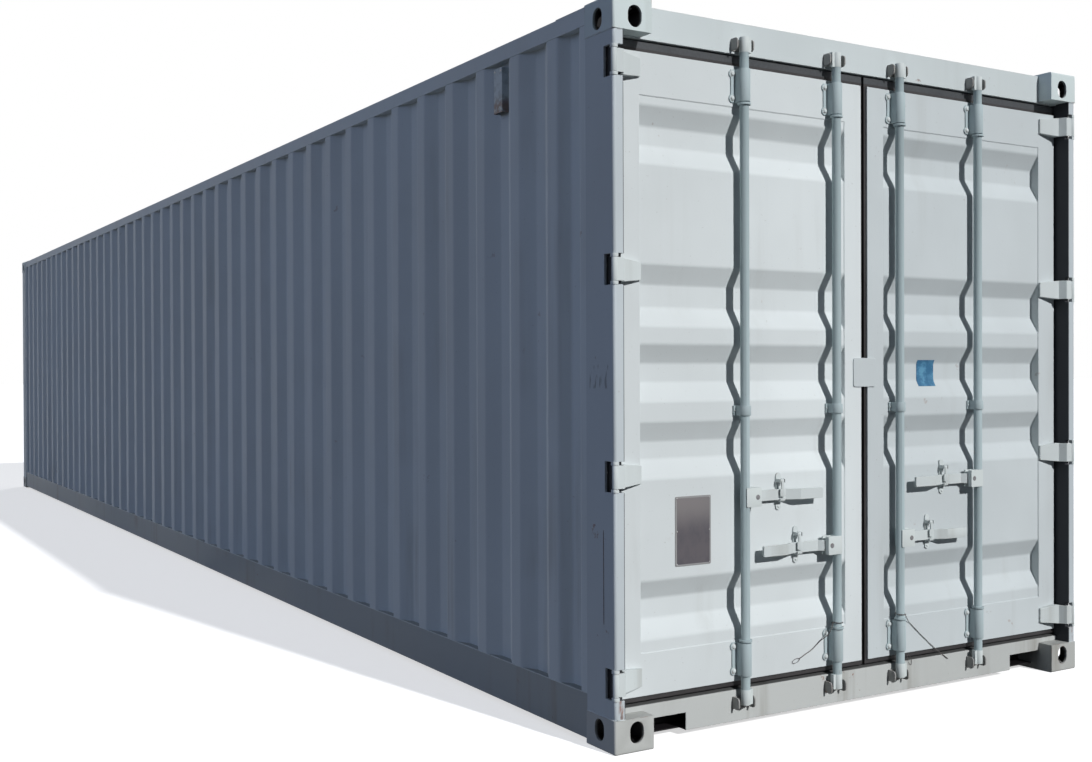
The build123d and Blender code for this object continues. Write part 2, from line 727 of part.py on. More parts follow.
def make_door_frame(side):
    """Two stiles and two rails; the rails are channels, open to the inside."""
    hinge_edge, meeting_edge = leaf_edges(side)
    inner = (hinge_edge - side * STILE_WIDTH, meeting_edge + side * MEETING_STILE_WIDTH)
    depth = (behind(DOOR_FACE), behind(DOOR_FACE + DOOR_THICKNESS))
    with BuildPart() as built:
        block((hinge_edge, meeting_edge), depth, (DOOR_LOW, DOOR_TOP))
        block(inner, depth, (PANEL_LOW, PANEL_TOP), mode=Mode.SUBTRACT)
        for low in (DOOR_LOW, PANEL_TOP):
            block(
                inner,
                (behind(DOOR_FACE + DOOR_CHANNEL_WALL), behind(DOOR_FACE + DOOR_THICKNESS)),
                (low + DOOR_CHANNEL_WALL, low + DOOR_RAIL_HEIGHT - DOOR_CHANNEL_WALL),
                mode=Mode.SUBTRACT,
            )
    return built


def panel_folds():
    """Folds of a door's sheet from its lower edge up; the flats between them share the height they leave."""
    spare = PANEL_TOP - PANEL_LOW - sum(PANEL_FOLD_HEIGHTS)
    level = PANEL_LOW
    folds = []
    for height, share in zip(PANEL_FOLD_HEIGHTS, PANEL_FLAT_SHARES):
        level += spare * share / sum(PANEL_FLAT_SHARES)
        folds.append((level, level + PANEL_SLOPE, level + height - PANEL_SLOPE, level + height))
        level += height
    return folds


def make_door_panel(side):
    hinge_edge, meeting_edge = leaf_edges(side)
    ends = sorted((hinge_edge - side * STILE_WIDTH, meeting_edge + side * MEETING_STILE_WIDTH))
    line = folded(PANEL_LOW, PANEL_TOP, panel_folds(), PANEL_DEPTH)
    points = [(behind(PANEL_FACE + inward), up) for up, inward in sheet(line, PANEL_GAUGE)]
    with BuildPart() as built:
        with BuildSketch(Plane.YZ.offset(ends[0])):
            Polygon(*points, align=None)
        extrude(amount=ends[1] - ends[0])
    return built


def make_door_seal(side):
    hinge_edge, meeting_edge = leaf_edges(side)
    depth = (behind(DOOR_FACE + SEAL_SET), behind(DOOR_FACE + SEAL_SET + SEAL_DEPTH))
    with BuildPart() as built:
        block(
            (hinge_edge + side * SEAL_SIDE, meeting_edge - side * SEAL_MEETING),
            depth,
            (DOOR_LOW - SEAL_LOW, DOOR_TOP + SEAL_TOP),
        )
        block((hinge_edge, meeting_edge), depth, (DOOR_LOW, DOOR_TOP), mode=Mode.SUBTRACT)
    return built


def bar_places(side):
    """X, handle height and handle direction of a door's two locking bars, the outer one first."""
    outer_up = HANDLE_OUTER_LEFT_UP if side == LEFT else HANDLE_OUTER_RIGHT_UP
    return [
        (BAR_LINE_X + side * BAR_OUTER_X, DOOR_LOW + outer_up, -side),
        (BAR_LINE_X + side * BAR_INNER_X, DOOR_LOW + HANDLE_INNER_UP, side),
    ]


def make_bar_guides(side):
    """Guides that hold the bars to the door: long ones with bolt lobes near the ends, a short one between."""
    with BuildPart() as built:
        for x, _, _ in bar_places(side):
            for z, height, width, seat in (
                (GUIDE_LOW_Z, GUIDE_HEIGHT, GUIDE_PLATE_WIDTH, DOOR_FACE),
                (DOOR_LOW + GUIDE_MIDDLE_UP, GUIDE_MIDDLE_HEIGHT, GUIDE_MIDDLE_WIDTH, PANEL_FACE),
                (GUIDE_TOP_Z, GUIDE_HEIGHT, GUIDE_PLATE_WIDTH, DOOR_FACE),
            ):
                tall = (z - height / 2, z + height / 2)
                plate = (behind(DOOR_FACE - GUIDE_PLATE_GAUGE), behind(seat))
                waist = GUIDE_WAIST if width == GUIDE_PLATE_WIDTH else 0
                block((x - width / 2 + waist, x + width / 2 - waist), plate, tall)
                if waist:
                    for lobe in (tall[0] + GUIDE_LOBE, tall[1] - GUIDE_LOBE):
                        for end in (-1, 1):
                            rod(x + end * (width / 2 - GUIDE_LOBE), plate, lobe, GUIDE_LOBE, Axis.Y)
                block((x - GUIDE_RADIUS, x + GUIDE_RADIUS), (behind(BAR_DEPTH), behind(seat)), tall)
                rod(x, behind(BAR_DEPTH), tall, GUIDE_RADIUS)
                rod(x, behind(BAR_DEPTH), tall, BAR_RADIUS + GUIDE_CLEARANCE, mode=Mode.SUBTRACT)
    return built


def make_cam_keepers():
    """Two-eared keepers on the header and the sill, one at each end of each bar."""
    face = HEADER_FACE
    front = face - KEEPER_REACH
    wide = KEEPER_HALF_WIDTH
    with BuildPart() as built:
        for x, _, _ in bar_places(LEFT) + bar_places(RIGHT):
            for z in (KEEPER_LOW_Z, KEEPER_TOP_Z):
                tall = (z - KEEPER_HEIGHT / 2, z + KEEPER_HEIGHT / 2)
                block((x - wide, x + wide), (behind(face - KEEPER_PLATE), behind(face)), tall)
                for ear in (-1, 1):
                    across = (x + ear * (wide - KEEPER_EAR), x + ear * wide)
                    block(across, (behind(front), behind(face)), tall)
        tips = built.edges().filter_by(Axis.X).filter_by_position(Axis.Y, behind(front), behind(front))
        fillet(tips, KEEPER_ROUND)
    return built


def make_locking_bar(x, handle_z, way):
    """One bar with its cams, its collars and the forked hub that carries the handle."""
    y = behind(BAR_DEPTH)
    with BuildPart() as built:
        hub = (x + way * HUB_START, x + way * HUB_REACH)
        hub_tall = (handle_z - HUB_HALF_HEIGHT, handle_z + HUB_HALF_HEIGHT)
        block(hub, (behind(HUB_FRONT), behind(HUB_FRONT + HUB_DEPTH)), hub_tall)
        fillet(built.edges().filter_by(Axis.Y), HUB_ROUND)
        slot = (HANDLE_FRONT - HUB_SLOT_GAP, HANDLE_FRONT + HANDLE_GAUGE + HUB_SLOT_GAP)
        fork = (x + way * HUB_SLOT_START, x + way * HUB_REACH)
        block(fork, (behind(slot[0]), behind(slot[1])), hub_tall, mode=Mode.SUBTRACT)
        rod(x + way * PIVOT_REACH, (behind(slot[0]), behind(slot[1])), handle_z, PIVOT_RADIUS, Axis.Y)
        rod(x, y, (BAR_LOW, BAR_TOP), BAR_RADIUS)
        for z in (BAR_LOW, BAR_TOP - CAM_HEIGHT):
            rod(x, y, (z, z + CAM_HEIGHT), CAM_RADIUS)
            nose = (y - CAM_NOSE_WIDTH / 2, y + CAM_NOSE_WIDTH / 2)
            block((x, x + way * CAM_NOSE), nose, (z, z + CAM_HEIGHT))
        below_top = GUIDE_TOP_Z - GUIDE_HEIGHT / 2 - COLLAR_GAP - COLLAR_HEIGHT
        above_low = GUIDE_LOW_Z + GUIDE_HEIGHT / 2 + COLLAR_GAP
        for z in (above_low, below_top):
            rod(x, y, (z, z + COLLAR_HEIGHT), COLLAR_RADIUS)
    return built


def make_handle(x, z, way):
    """A flat bar, rounded about its pivot, which jogs in to its retainer and bends out at its free end."""
    front = [
        (PIVOT_REACH - HANDLE_HALF_HEIGHT, HANDLE_FRONT),
        (HANDLE_JOG_START, HANDLE_FRONT),
        (HANDLE_JOG_END, HANDLE_HELD_FRONT),
        (HANDLE_BEND_START, HANDLE_HELD_FRONT),
        (HANDLE_BEND_END, HANDLE_TIP_FRONT),
        (HANDLE_REACH, HANDLE_TIP_FRONT),
    ]
    outline = front + offset_line(front, HANDLE_GAUGE)[::-1]
    with BuildPart() as built:
        with BuildSketch(Plane.XY.offset(z - HANDLE_HALF_HEIGHT)):
            Polygon(*[(x + way * reach, behind(depth)) for reach, depth in outline], align=None)
        extrude(amount=2 * HANDLE_HALF_HEIGHT)
        with BuildSketch(Plane.XZ.offset(-DOOR_END)) as face:
            with Locations((x + way * (PIVOT_REACH + HANDLE_REACH) / 2, z)):
                Rectangle(HANDLE_REACH - PIVOT_REACH, 2 * HANDLE_HALF_HEIGHT)
            fillet(face.vertices().sort_by_distance((x + way * HANDLE_REACH, z, 0))[:2], HANDLE_ROUND)
            with Locations((x + way * PIVOT_REACH, z)):
                Circle(HANDLE_HALF_HEIGHT)
        extrude(amount=-DOOR_FACE, mode=Mode.INTERSECT)
        pivot = (behind(HANDLE_FRONT), behind(HANDLE_FRONT + HANDLE_GAUGE))
        rod(x + way * PIVOT_REACH, pivot, z, PIVOT_RADIUS + PIN_CLEARANCE, Axis.Y, mode=Mode.SUBTRACT)
    return built


def make_handle_retainers(side):
    """Straps on the door, each with a hook under its handle and ears for its catch."""
    half = RETAINER_HALF_WIDTH
    plate = (behind(PANEL_FACE - RETAINER_GAUGE), behind(PANEL_FACE))
    front = behind(CATCH_FRONT)
    with BuildPart() as built:
        for bar_x, z, way in bar_places(side):
            x = bar_x + way * RETAINER_REACH
            ends = (z - RETAINER_DOWN + half, z + RETAINER_UP - half)
            block((x - half, x + half), plate, ends)
            for end in ends:
                rod(x, plate, end, half, Axis.Y)
            shelf = z - HANDLE_HALF_HEIGHT - HOOK_GAP
            lip = front + HOOK_LIP_GAUGE
            hook = [
                (plate[0], shelf),
                (lip, shelf),
                (lip, shelf + HOOK_LIP_HEIGHT),
                (front, shelf + HOOK_LIP_HEIGHT),
                (front, shelf - HOOK_GAUGE),
                (plate[0], shelf - HOOK_GAUGE),
            ]
            with BuildSketch(Plane.YZ.offset(x - half)) as profile:
                Polygon(*hook, align=None)
                fillet(profile.vertices().group_by(Axis.X)[0].sort_by(Axis.Y)[0], HOOK_ROUND)
            extrude(amount=2 * half)
            for ear in (-1, 1):
                block(
                    (x + ear * (half - EAR_GAUGE), x + ear * half),
                    (behind(CATCH_PIVOT_DEPTH - EAR_FRONT), plate[1]),
                    (z + EAR_LOW, z + EAR_LOW + EAR_HEIGHT),
                )
            rod((x - half, x + half), behind(CATCH_PIVOT_DEPTH), z + CATCH_PIVOT_UP, CATCH_PIN_RADIUS, Axis.X)
    return built


def make_catch(bar_x, z, way):
    """A strap that hangs from its pin and ends in a pad in front of the handle."""
    x = bar_x + way * RETAINER_REACH
    half = RETAINER_HALF_WIDTH - EAR_GAUGE - CATCH_CLEARANCE
    strap = CATCH_STRAP_HALF_WIDTH
    pad = CATCH_PAD_HALF_WIDTH
    plate = (behind(CATCH_FRONT), behind(CATCH_FRONT + CATCH_GAUGE))
    pivot = (behind(CATCH_PIVOT_DEPTH), z + CATCH_PIVOT_UP)
    with BuildPart() as built:
        block((x - pad, x + pad), plate, (z - CATCH_DOWN, z + CATCH_PAD_UP))
        fillet(built.edges().filter_by(Axis.Y), CATCH_ROUND)
        block((x - strap, x + strap), plate, (z, pivot[1]))
        rod((x - half, x + half), *pivot, CATCH_BOSS_RADIUS, Axis.X)
        rod((x - half, x + half), *pivot, CATCH_PIN_RADIUS + PIN_CLEARANCE, Axis.X, mode=Mode.SUBTRACT)
    return built


def make_side_vents():
    """A vent cover in a fold of each wall: near the doors on the left, near the front on the right."""
    middles = [(begin + end) / 2 for begin, _, _, end in side_folds()]
    place = min(middles, key=lambda middle: abs(middle - VENT_FROM_END))
    half = VENT_WIDTH / 2
    top = TOP_RAIL_LOW - VENT_BELOW_RAIL + VENT_HEIGHT / 2
    low = top - VENT_HEIGHT
    wall = WALL_SET + WALL_DEPTH
    with BuildPart() as built:
        for side, y in ((LEFT, behind(place)), (RIGHT, before(place))):
            block((in_from(side, VENT_SET), in_from(side, wall)), (y - half, y + half), (low, top))
            block(
                (in_from(side, VENT_SET + VENT_WALL), in_from(side, wall)),
                (y - half + VENT_WALL, y + half - VENT_WALL),
                (low, top - VENT_WALL),
                mode=Mode.SUBTRACT,
            )
    return built


os.makedirs("parts", exist_ok=True)

bottom_castings = make_bottom_castings()
save(bottom_castings, "corner_castings_bottom")
save(make_top_castings(bottom_castings), "corner_castings_top")
save(make_front_posts(), "front_posts")
save(make_top_rails(), "top_rails")
save(make_bottom_rails(), "bottom_rails")
save(make_front_wall(), "front_wall")
save(make_roof_panel(), "roof_panel")
save(make_roof_corner_plates(), "roof_corner_plates")
save(make_door_header(), "door_header")
save(make_door_sill(), "door_sill")
save(make_front_header(), "front_header")
save(make_front_sill(), "front_sill")
save(make_floor_boards(), "floor_boards")
save(make_floor_beams(), "floor_cross_members")
save(make_hinge_lugs(), "hinge_lugs")
save(make_cam_keepers(), "cam_keepers")
save(make_side_vents(), "side_vents")

bar_number = 0
for side, word in ((LEFT, "left"), (RIGHT, "right")):
    save(make_door_post(side), "door_post_" + word)
    save(make_side_wall(side), "side_wall_" + word)
    save(make_door_frame(side), "door_frame_" + word)
    save(make_door_panel(side), "door_panel_" + word)
    save(make_door_seal(side), "door_seal_" + word)
    save(make_hinge_blades(side), "hinge_blades_" + word)
    save(make_bar_guides(side), "bar_guides_" + word)
    save(make_handle_retainers(side), "handle_retainers_" + word)
    for place in sorted(bar_places(side)):
        bar_number += 1
        save(make_locking_bar(*place), "locking_bar_" + str(bar_number))
        save(make_handle(*place), "handle_" + str(bar_number))
        save(make_catch(*place), "handle_catch_" + str(bar_number))
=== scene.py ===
"""Looks of a used steel shipping container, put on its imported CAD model. Metres, in the model's own frame."""
import math
import random

import bpy
from mathutils import Matrix, Vector


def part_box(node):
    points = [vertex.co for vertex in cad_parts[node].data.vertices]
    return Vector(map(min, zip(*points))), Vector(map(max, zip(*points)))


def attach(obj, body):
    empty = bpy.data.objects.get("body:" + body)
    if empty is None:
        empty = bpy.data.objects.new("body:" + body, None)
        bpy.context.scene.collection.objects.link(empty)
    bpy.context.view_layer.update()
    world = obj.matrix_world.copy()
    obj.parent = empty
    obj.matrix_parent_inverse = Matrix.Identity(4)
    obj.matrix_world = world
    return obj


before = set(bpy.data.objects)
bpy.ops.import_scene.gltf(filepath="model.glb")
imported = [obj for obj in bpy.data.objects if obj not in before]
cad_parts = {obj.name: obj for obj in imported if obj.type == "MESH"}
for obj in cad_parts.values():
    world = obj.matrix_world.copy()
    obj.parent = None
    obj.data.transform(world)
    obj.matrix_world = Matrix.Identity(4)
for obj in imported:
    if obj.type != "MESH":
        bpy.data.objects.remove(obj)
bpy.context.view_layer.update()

random.seed(40)
TAU = 2 * math.pi

# Planes of the container: the door end, half the width and the top
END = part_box("corner_castings_top")[0].y
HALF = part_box("corner_castings_top")[1].x
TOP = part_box("corner_castings_top")[1].z

# Depths behind the door end
DOOR_FACE = 0.070
PANEL_FACE = 0.073
SILL_FACE = 0.066
GUIDE_FACE = 0.065
HUB_FACE = 0.018
BAR_DEPTH = 0.038

# Corner castings across, along and up, and the width of the door posts
CASTING = (0.162, 0.178, 0.118)
POST_WIDTH = 0.045

# Heights of the door sill's hollow, of its top and of the topmost lip of the seals, which is painted lighter as
# painted light
SILL_HOLLOW_TOP, SILL_TOP = 0.127, 0.135
LIT_LIP_Z = (2.436, 2.439)

# Lock bars: place across, height of the hub, side towards which the handle lies, leaf
BARS = [
    (-0.615, 0.845, 1, "left"),
    (-0.160, 0.640, -1, "left"),
    (0.180, 0.640, 1, "right"),
    (0.635, 0.860, -1, "right"),
]
TUBE_RADIUS = 0.0175
TUBE_FRONT = BAR_DEPTH - TUBE_RADIUS

# Half the hubs' height, how far their pins stand from the bars, and the inner ends of the bars' cams
HUB_HALF = 0.0355
HUB_PIN_OUT = 0.044
CAM_LOW, CAM_HIGH = 0.142, 2.469

# Heights of the bars' guides, and how far the handles' holders stand from the bars
GUIDES = (0.252, 2.350)
MIDDLE_GUIDE = 1.163
RETAINER_OUT = 0.185
RETAINER_BOLT_DROP = 0.046

# Line where the doors meet, and how far from it and from the sides their folded sheets end
MEETING_X = 0.018
SHEET_FROM_MEETING = 0.105
SHEET_FROM_SIDE = 0.158

# Folds of the door sheets, from below: heights of the recesses and of the flats under them
PANEL_Z = (0.318, 2.275)
FOLD_HEIGHTS = (0.207, 0.200, 0.204, 0.218, 0.206)
FOLD_FLATS = (0.044, 0.358, 0.073, 0.062, 0.353)
SLOPE, FOLD_DEPTH = 0.068, 0.036

# Data plate, blue sheet and the plate over the gap, with the blue sheet's bends and how far it is sunk in
PLATE_X, PLATE_Z, PLATE_THICK = (-0.909, -0.748), (0.610, 0.860), 0.0025
BLUE_X, BLUE_THICK, BLUE_SUNK = (0.348, 0.447), 0.0012, 0.0003
BLUE_Z = (1.243, 1.2625, 1.2745, 1.3295, 1.342, 1.350)
LAP_X, LAP_Z, LAP_THICK = (-0.044, 0.075), (1.244, 1.357), 0.005

# Colours that several materials share, sRGB 0 to 255
# HOLLOW_SHADE is a near-black tone: painted shade inside the corner castings and the sill's hollow, and also
# the dark band on the sill's top
HOLLOW_SHADE = (24, 22, 24)
BAR_COAT, FORGED_COAT = (163, 178, 181), (199, 206, 205)
RUST_DARK, RUST_PALE = (96, 52, 34), (142, 88, 58)
DIRT, SPECKS = (128, 124, 114), (120, 112, 102)


def behind(depth):
    """Y of a plane at a depth behind the door end."""
    return END + depth


# Camera, at the photograph's viewpoint
EYE = Vector((-3.6403, -9.6663, 1.3077))
YAW, PITCH, ROLL = 0.5426, -0.0073, -0.0036
FOCAL_PX, WIDTH_PX, SENSOR = 1272.18, 1092, 36.0
level = Vector((math.sin(YAW), math.cos(YAW), 0))
across = Vector((math.cos(YAW), -math.sin(YAW), 0))
forward = level * math.cos(PITCH) + Vector((0, 0, 1)) * math.sin(PITCH)
upward = Vector((0, 0, 1)) * math.cos(PITCH) - level * math.sin(PITCH)
right = across * math.cos(ROLL) + upward * math.sin(ROLL)
upward = upward * math.cos(ROLL) - across * math.sin(ROLL)
camera = bpy.data.objects.new("camera", bpy.data.cameras.new("camera"))
bpy.context.scene.collection.objects.link(camera)
camera.matrix_world = Matrix.Translation(EYE) @ Matrix((right, upward, -forward)).transposed().to_4x4()
camera.data.sensor_width = SENSOR
camera.data.lens = SENSOR * FOCAL_PX / WIDTH_PX
camera.data.clip_end = 400
bpy.context.scene.camera = camera


# Material helpers
def linear(rgb):
    """sRGB 0 to 255 as the linear colour that Blender wants."""
    return tuple(c / 255 / 12.92 if c <= 10 else ((c / 255 + 0.055) / 1.055) ** 2.4 for c in rgb) + (1.0,)


class Shader:
    """A material with a few short ways to add nodes to it. Masks run from 0 to 1."""

    def __init__(self, name, rough=0.5, specular=0.3, metallic=0.0):
        self.mat = bpy.data.materials.new(name)
        self.mat.use_nodes = True
        self.tree = self.mat.node_tree
        self.bsdf = self.tree.nodes["Principled BSDF"]
        self.bsdf.inputs["Roughness"].default_value = rough
        self.bsdf.inputs["Specular IOR Level"].default_value = specular
        self.bsdf.inputs["Metallic"].default_value = metallic
        self.coords = self.add("ShaderNodeTexCoord").outputs["Object"]

    def add(self, kind, **values):
        node = self.tree.nodes.new(kind)
        for key, value in values.items():
            setattr(node, key, value)
        return node

    def put(self, socket, value):
        if isinstance(value, bpy.types.NodeSocket):
            self.tree.links.new(value, socket)
        else:
            socket.default_value = value

    def noise(self, scale, detail=3.0, rough=0.55, stretch=(1, 1, 1), shift=(0, 0, 0)):
        mapping = self.add("ShaderNodeMapping")
        self.put(mapping.inputs["Vector"], self.coords)
        mapping.inputs["Scale"].default_value = stretch
        mapping.inputs["Location"].default_value = shift
        node = self.add("ShaderNodeTexNoise")
        self.put(node.inputs["Vector"], mapping.outputs[0])
        node.inputs["Scale"].default_value = scale
        node.inputs["Detail"].default_value = detail
        node.inputs["Roughness"].default_value = rough
        return node.outputs["Fac"]

    def ramp(self, value, low, high, to_low=0.0, to_high=1.0):
        node = self.add("ShaderNodeMapRange")
        node.interpolation_type = "SMOOTHSTEP"
        self.put(node.inputs["Value"], value)
        for key, number in (("From Min", low), ("From Max", high), ("To Min", to_low), ("To Max", to_high)):
            node.inputs[key].default_value = number
        return node.outputs["Result"]

    def math(self, kind, a, b=0.0):
        node = self.add("ShaderNodeMath", operation=kind)
        self.put(node.inputs[0], a)
        self.put(node.inputs[1], b)
        return node.outputs[0]

    def mix(self, factor, a, b):
        node = self.add("ShaderNodeMix", data_type="RGBA")
        self.put(node.inputs["Factor"], factor)
        self.put(node.inputs["A"], a)
        self.put(node.inputs["B"], b)
        return node.outputs["Result"]

    def split(self):
        """X, Y and Z of the place."""
        node = self.add("ShaderNodeSeparateXYZ")
        self.put(node.inputs[0], self.coords)
        return node.outputs

    def inward(self):
        """Distance in from the nearer side face."""
        return self.math("SUBTRACT", HALF, self.math("ABSOLUTE", self.split()["X"]))

    def depth(self):
        """Distance behind the door end."""
        return self.math("SUBTRACT", self.split()["Y"], END)

    def height(self):
        return self.split()["Z"]

    def band(self, value, start, stop, soft=0.01):
        """1 between two values, falling to 0 outside them."""
        return self.times(self.ramp(value, start - soft, start), self.ramp(value, stop + soft, stop))

    def chain(self, kind, values):
        """One value out of many, two at a time."""
        found = values[0]
        for value in values[1:]:
            found = self.math(kind, found, value)
        return found

    def most(self, *values):
        return self.chain("MAXIMUM", values)

    def times(self, *values):
        return self.chain("MULTIPLY", values)

    def bump(self, value, distance, strength, below=None):
        node = self.add("ShaderNodeBump")
        self.put(node.inputs["Height"], value)
        node.inputs["Distance"].default_value = distance
        node.inputs["Strength"].default_value = strength
        if below is not None:
            self.put(node.inputs["Normal"], below)
        return node.outputs[0]

    def edges(self, radius):
        """1 on sharp edges and 0 on flats."""
        soft = self.add("ShaderNodeBevel", samples=4)
        soft.inputs["Radius"].default_value = radius
        geometry = self.add("ShaderNodeNewGeometry")
        dot = self.add("ShaderNodeVectorMath", operation="DOT_PRODUCT")
        self.put(dot.inputs[0], soft.outputs[0])
        self.put(dot.inputs[1], geometry.outputs["Normal"])
        return self.ramp(self.math("SUBTRACT", 1.0, dot.outputs["Value"]), 0.02, 0.25)

    def done(self, colour, rough=None, normal=None):
        self.put(self.bsdf.inputs["Base Color"], colour)
        if rough is not None:
            self.put(self.bsdf.inputs["Roughness"], rough)
        if normal is not None:
            self.put(self.bsdf.inputs["Normal"], normal)
        return self.mat


def paint(name, rgb, seed, grime=0.35, rust=0.3, wear=0.0, dents=0.0, rusted=None, over=None, tone=HOLLOW_SHADE):
    """Aged coach paint: cloudy tone, rain streaks and patches that grow stronger towards the bottom, rust spots
    and worn edges.

    rusted and over are functions that give a mask, for more rust and for a coat of the colour tone; that coat
    is real paint on the bars' hubs and cams, and on the castings, posts and sill it is mostly painted shade.
    """
    s = Shader(name, specular=0.15)
    base = linear(rgb)
    dull = linear([c * 0.93 for c in rgb])
    bright = linear([min(c * 1.025, 252) for c in rgb])
    cloud = s.noise(0.9, 4, 0.6, shift=(seed, 0, 0))
    colour = s.mix(s.ramp(cloud, 0.3, 0.7), dull, bright)
    colour = s.mix(0.45, colour, base)
    streak = s.noise(7.0, 4, 0.6, stretch=(1, 1, 0.07), shift=(0, seed, 0))
    patch = s.noise(2.1, 2, 0.5, shift=(3, seed, 1))
    # The streaks and patches darken the paint more towards the bottom
    near_ground = s.ramp(s.height(), 1.1, 0.05, 0.35, 1.0)
    dirt = s.times(s.ramp(streak, 0.50, 0.74), s.ramp(patch, 0.36, 0.66), near_ground, grime)
    colour = s.mix(dirt, colour, linear(DIRT))
    speck = s.noise(95.0, 2, 0.5)
    colour = s.mix(s.ramp(speck, 0.70, 0.78, 0, 0.22), colour, linear(SPECKS))
    spots = s.ramp(s.noise(16.0, 5, 0.62, shift=(seed, 2, 0)), 0.675, 0.71)
    spots = s.times(spots, s.ramp(patch, 0.52, 0.60), rust)
    rusty = s.mix(s.ramp(s.noise(60.0, 3), 0.35, 0.65), linear(RUST_DARK), linear(RUST_PALE))
    if wear:
        chips = s.ramp(s.noise(22.0, 5, 0.65, shift=(0, 0, seed)), 0.50, 0.62)
        spots = s.most(spots, s.times(s.edges(0.004), chips, wear))
    if rusted:
        spots = s.most(spots, rusted(s))
    colour = s.mix(spots, colour, rusty)
    # The colour tone over the mask: real paint on some parts, painted shade on others
    if over:
        colour = s.mix(over(s), colour, linear(tone))
    rough = s.ramp(cloud, 0.2, 0.8, 0.50, 0.62)
    normal = s.bump(s.noise(150.0, 2, 0.5), 0.0004, 0.35)
    normal = s.bump(spots, 0.0008, 0.5, normal)
    if dents:
        waves = s.noise(1.7, 2, 0.45, stretch=(1, 1, 0.6), shift=(seed, seed, 0))
        normal = s.bump(waves, 0.05, dents, normal)
    return s.done(colour, rough, normal)


def shade_in_post(s):
    """The faces of a door post that turn to the door, and its hinge pockets, darkened as painted shade."""
    inward, depth = s.inward(), s.depth()
    pocket = s.times(s.ramp(inward, 0.010, 0.014), s.ramp(depth, 0.008, 0.012))
    return s.most(s.ramp(inward, POST_WIDTH - 0.0045, POST_WIDTH - 0.0015), pocket)


def shade_in_casting(s):
    """Painted shade on the inside of a corner casting and the walls of its holes."""
    inward = s.inward()
    along = s.math("SUBTRACT", -END, s.math("ABSOLUTE", s.split()["Y"]))
    up = s.math("SUBTRACT", TOP / 2, s.math("ABSOLUTE", s.math("SUBTRACT", s.height(), TOP / 2)))
    deep = s.ramp(s.math("MINIMUM", inward, s.math("MINIMUM", along, up)), 0.003, 0.013)
    room = [s.ramp(value, size - 0.001, size - 0.005) for value, size in zip((inward, along, up), CASTING)]
    return s.times(deep, *room)


def sill_shade_and_band(s):
    """The notches in the sill and its hollow inside, darkened as painted shade, and a dark band on its top
    under the seals.
    """
    depth, height = s.depth(), s.height()
    # Painted shade: the sill's hollow inside, seen through the notches
    hollow = s.times(s.ramp(depth, SILL_FACE + 0.002, SILL_FACE + 0.006),
                     s.ramp(height, SILL_HOLLOW_TOP + 0.003, SILL_HOLLOW_TOP - 0.003))
    under_seals = s.band(depth, DOOR_FACE + 0.003, DOOR_FACE + 0.046, 0.003)
    on_top = s.ramp(height, SILL_TOP - 0.001, SILL_TOP + 0.001)
    return s.most(hollow, s.times(under_seals, on_top, 0.85))


def post_marks(s):
    """Scuffs on the outer side of the left post, at chest height."""
    left = s.ramp(s.split()["X"], 0.029 - HALF, 0.019 - HALF)
    stripes = s.ramp(s.noise(60.0, 2, 0.5, stretch=(1, 1, 0.25)), 0.50, 0.62)
    return s.times(left, stripes, s.band(s.depth(), 0.045, 0.150), s.band(s.height(), 1.255, 1.325), 0.55)


def post_rust(s):
    """Rust that has run down from the lowest hinge pockets."""
    run = s.ramp(s.noise(30.0, 5, 0.65, stretch=(1, 1, 0.3), shift=(2, 4, 1)), 0.46, 0.60)
    return s.times(run, s.band(s.height(), 0.135, 0.205, 0.04), s.ramp(s.inward(), 0.012, 0.030))


def post_shade_and_scuffs(s):
    """Painted shade on a door post's inner faces and pockets, and the scuffs on its outer side."""
    return s.most(shade_in_post(s), post_marks(s))


def bar_paint(number, bar_x, hub_z):
    """A lock bar: bluish tube, and a paler coat on its hub and on the cams at both ends."""
    def forged(s):
        height = s.height()
        cams = s.most(s.ramp(height, CAM_LOW + 0.001, CAM_LOW - 0.001),
                      s.ramp(height, CAM_HIGH - 0.001, CAM_HIGH + 0.001))
        aside = s.math("ABSOLUTE", s.math("SUBTRACT", s.split()["X"], bar_x))
        off_tube = s.most(s.ramp(aside, TUBE_RADIUS + 0.0001, TUBE_RADIUS + 0.0007),
                          s.ramp(s.depth(), TUBE_FRONT + 0.0002, TUBE_FRONT - 0.0002))
        hub = s.times(off_tube, s.band(height, hub_z - HUB_HALF, hub_z + HUB_HALF, 0.0005))
        return s.most(cams, hub)

    return paint("paint_bar_%d" % number, BAR_COAT, seed=25.0 + number, wear=0.5, rust=0.4, grime=0.4,
                 over=forged, tone=FORGED_COAT)


def rubber():
    """Dusty black rubber, with the topmost lip painted greyer as painted light."""
    s = Shader("seal_rubber", specular=0.25)
    dust = s.ramp(s.noise(5.0, 4, 0.6, stretch=(1, 1, 0.4)), 0.42, 0.72)
    fine = s.ramp(s.noise(120.0, 2), 0.3, 0.7)
    colour = s.mix(dust, linear((44, 42, 43)), linear((66, 64, 65)))
    # Painted light: the topmost lip is lighter than the rubber below it
    colour = s.mix(s.ramp(s.height(), *LIT_LIP_Z), colour, linear((66, 69, 72)))
    colour = s.mix(s.math("MULTIPLY", fine, 0.25), colour, linear((30, 29, 30)))
    return s.done(colour, s.ramp(dust, 0, 1, 0.55, 0.8), s.bump(fine, 0.0004, 0.4))


def coating():
    """Bitumen-like coating under the floor."""
    s = Shader("underside_coating")
    lumps = s.noise(26.0, 4, 0.6)
    dust = s.ramp(s.noise(3.0, 4, 0.6), 0.45, 0.75)
    colour = s.mix(dust, linear((38, 37, 36)), linear((82, 78, 70)))
    return s.done(colour, s.ramp(lumps, 0.3, 0.7, 0.45, 0.75), s.bump(lumps, 0.002, 0.4))


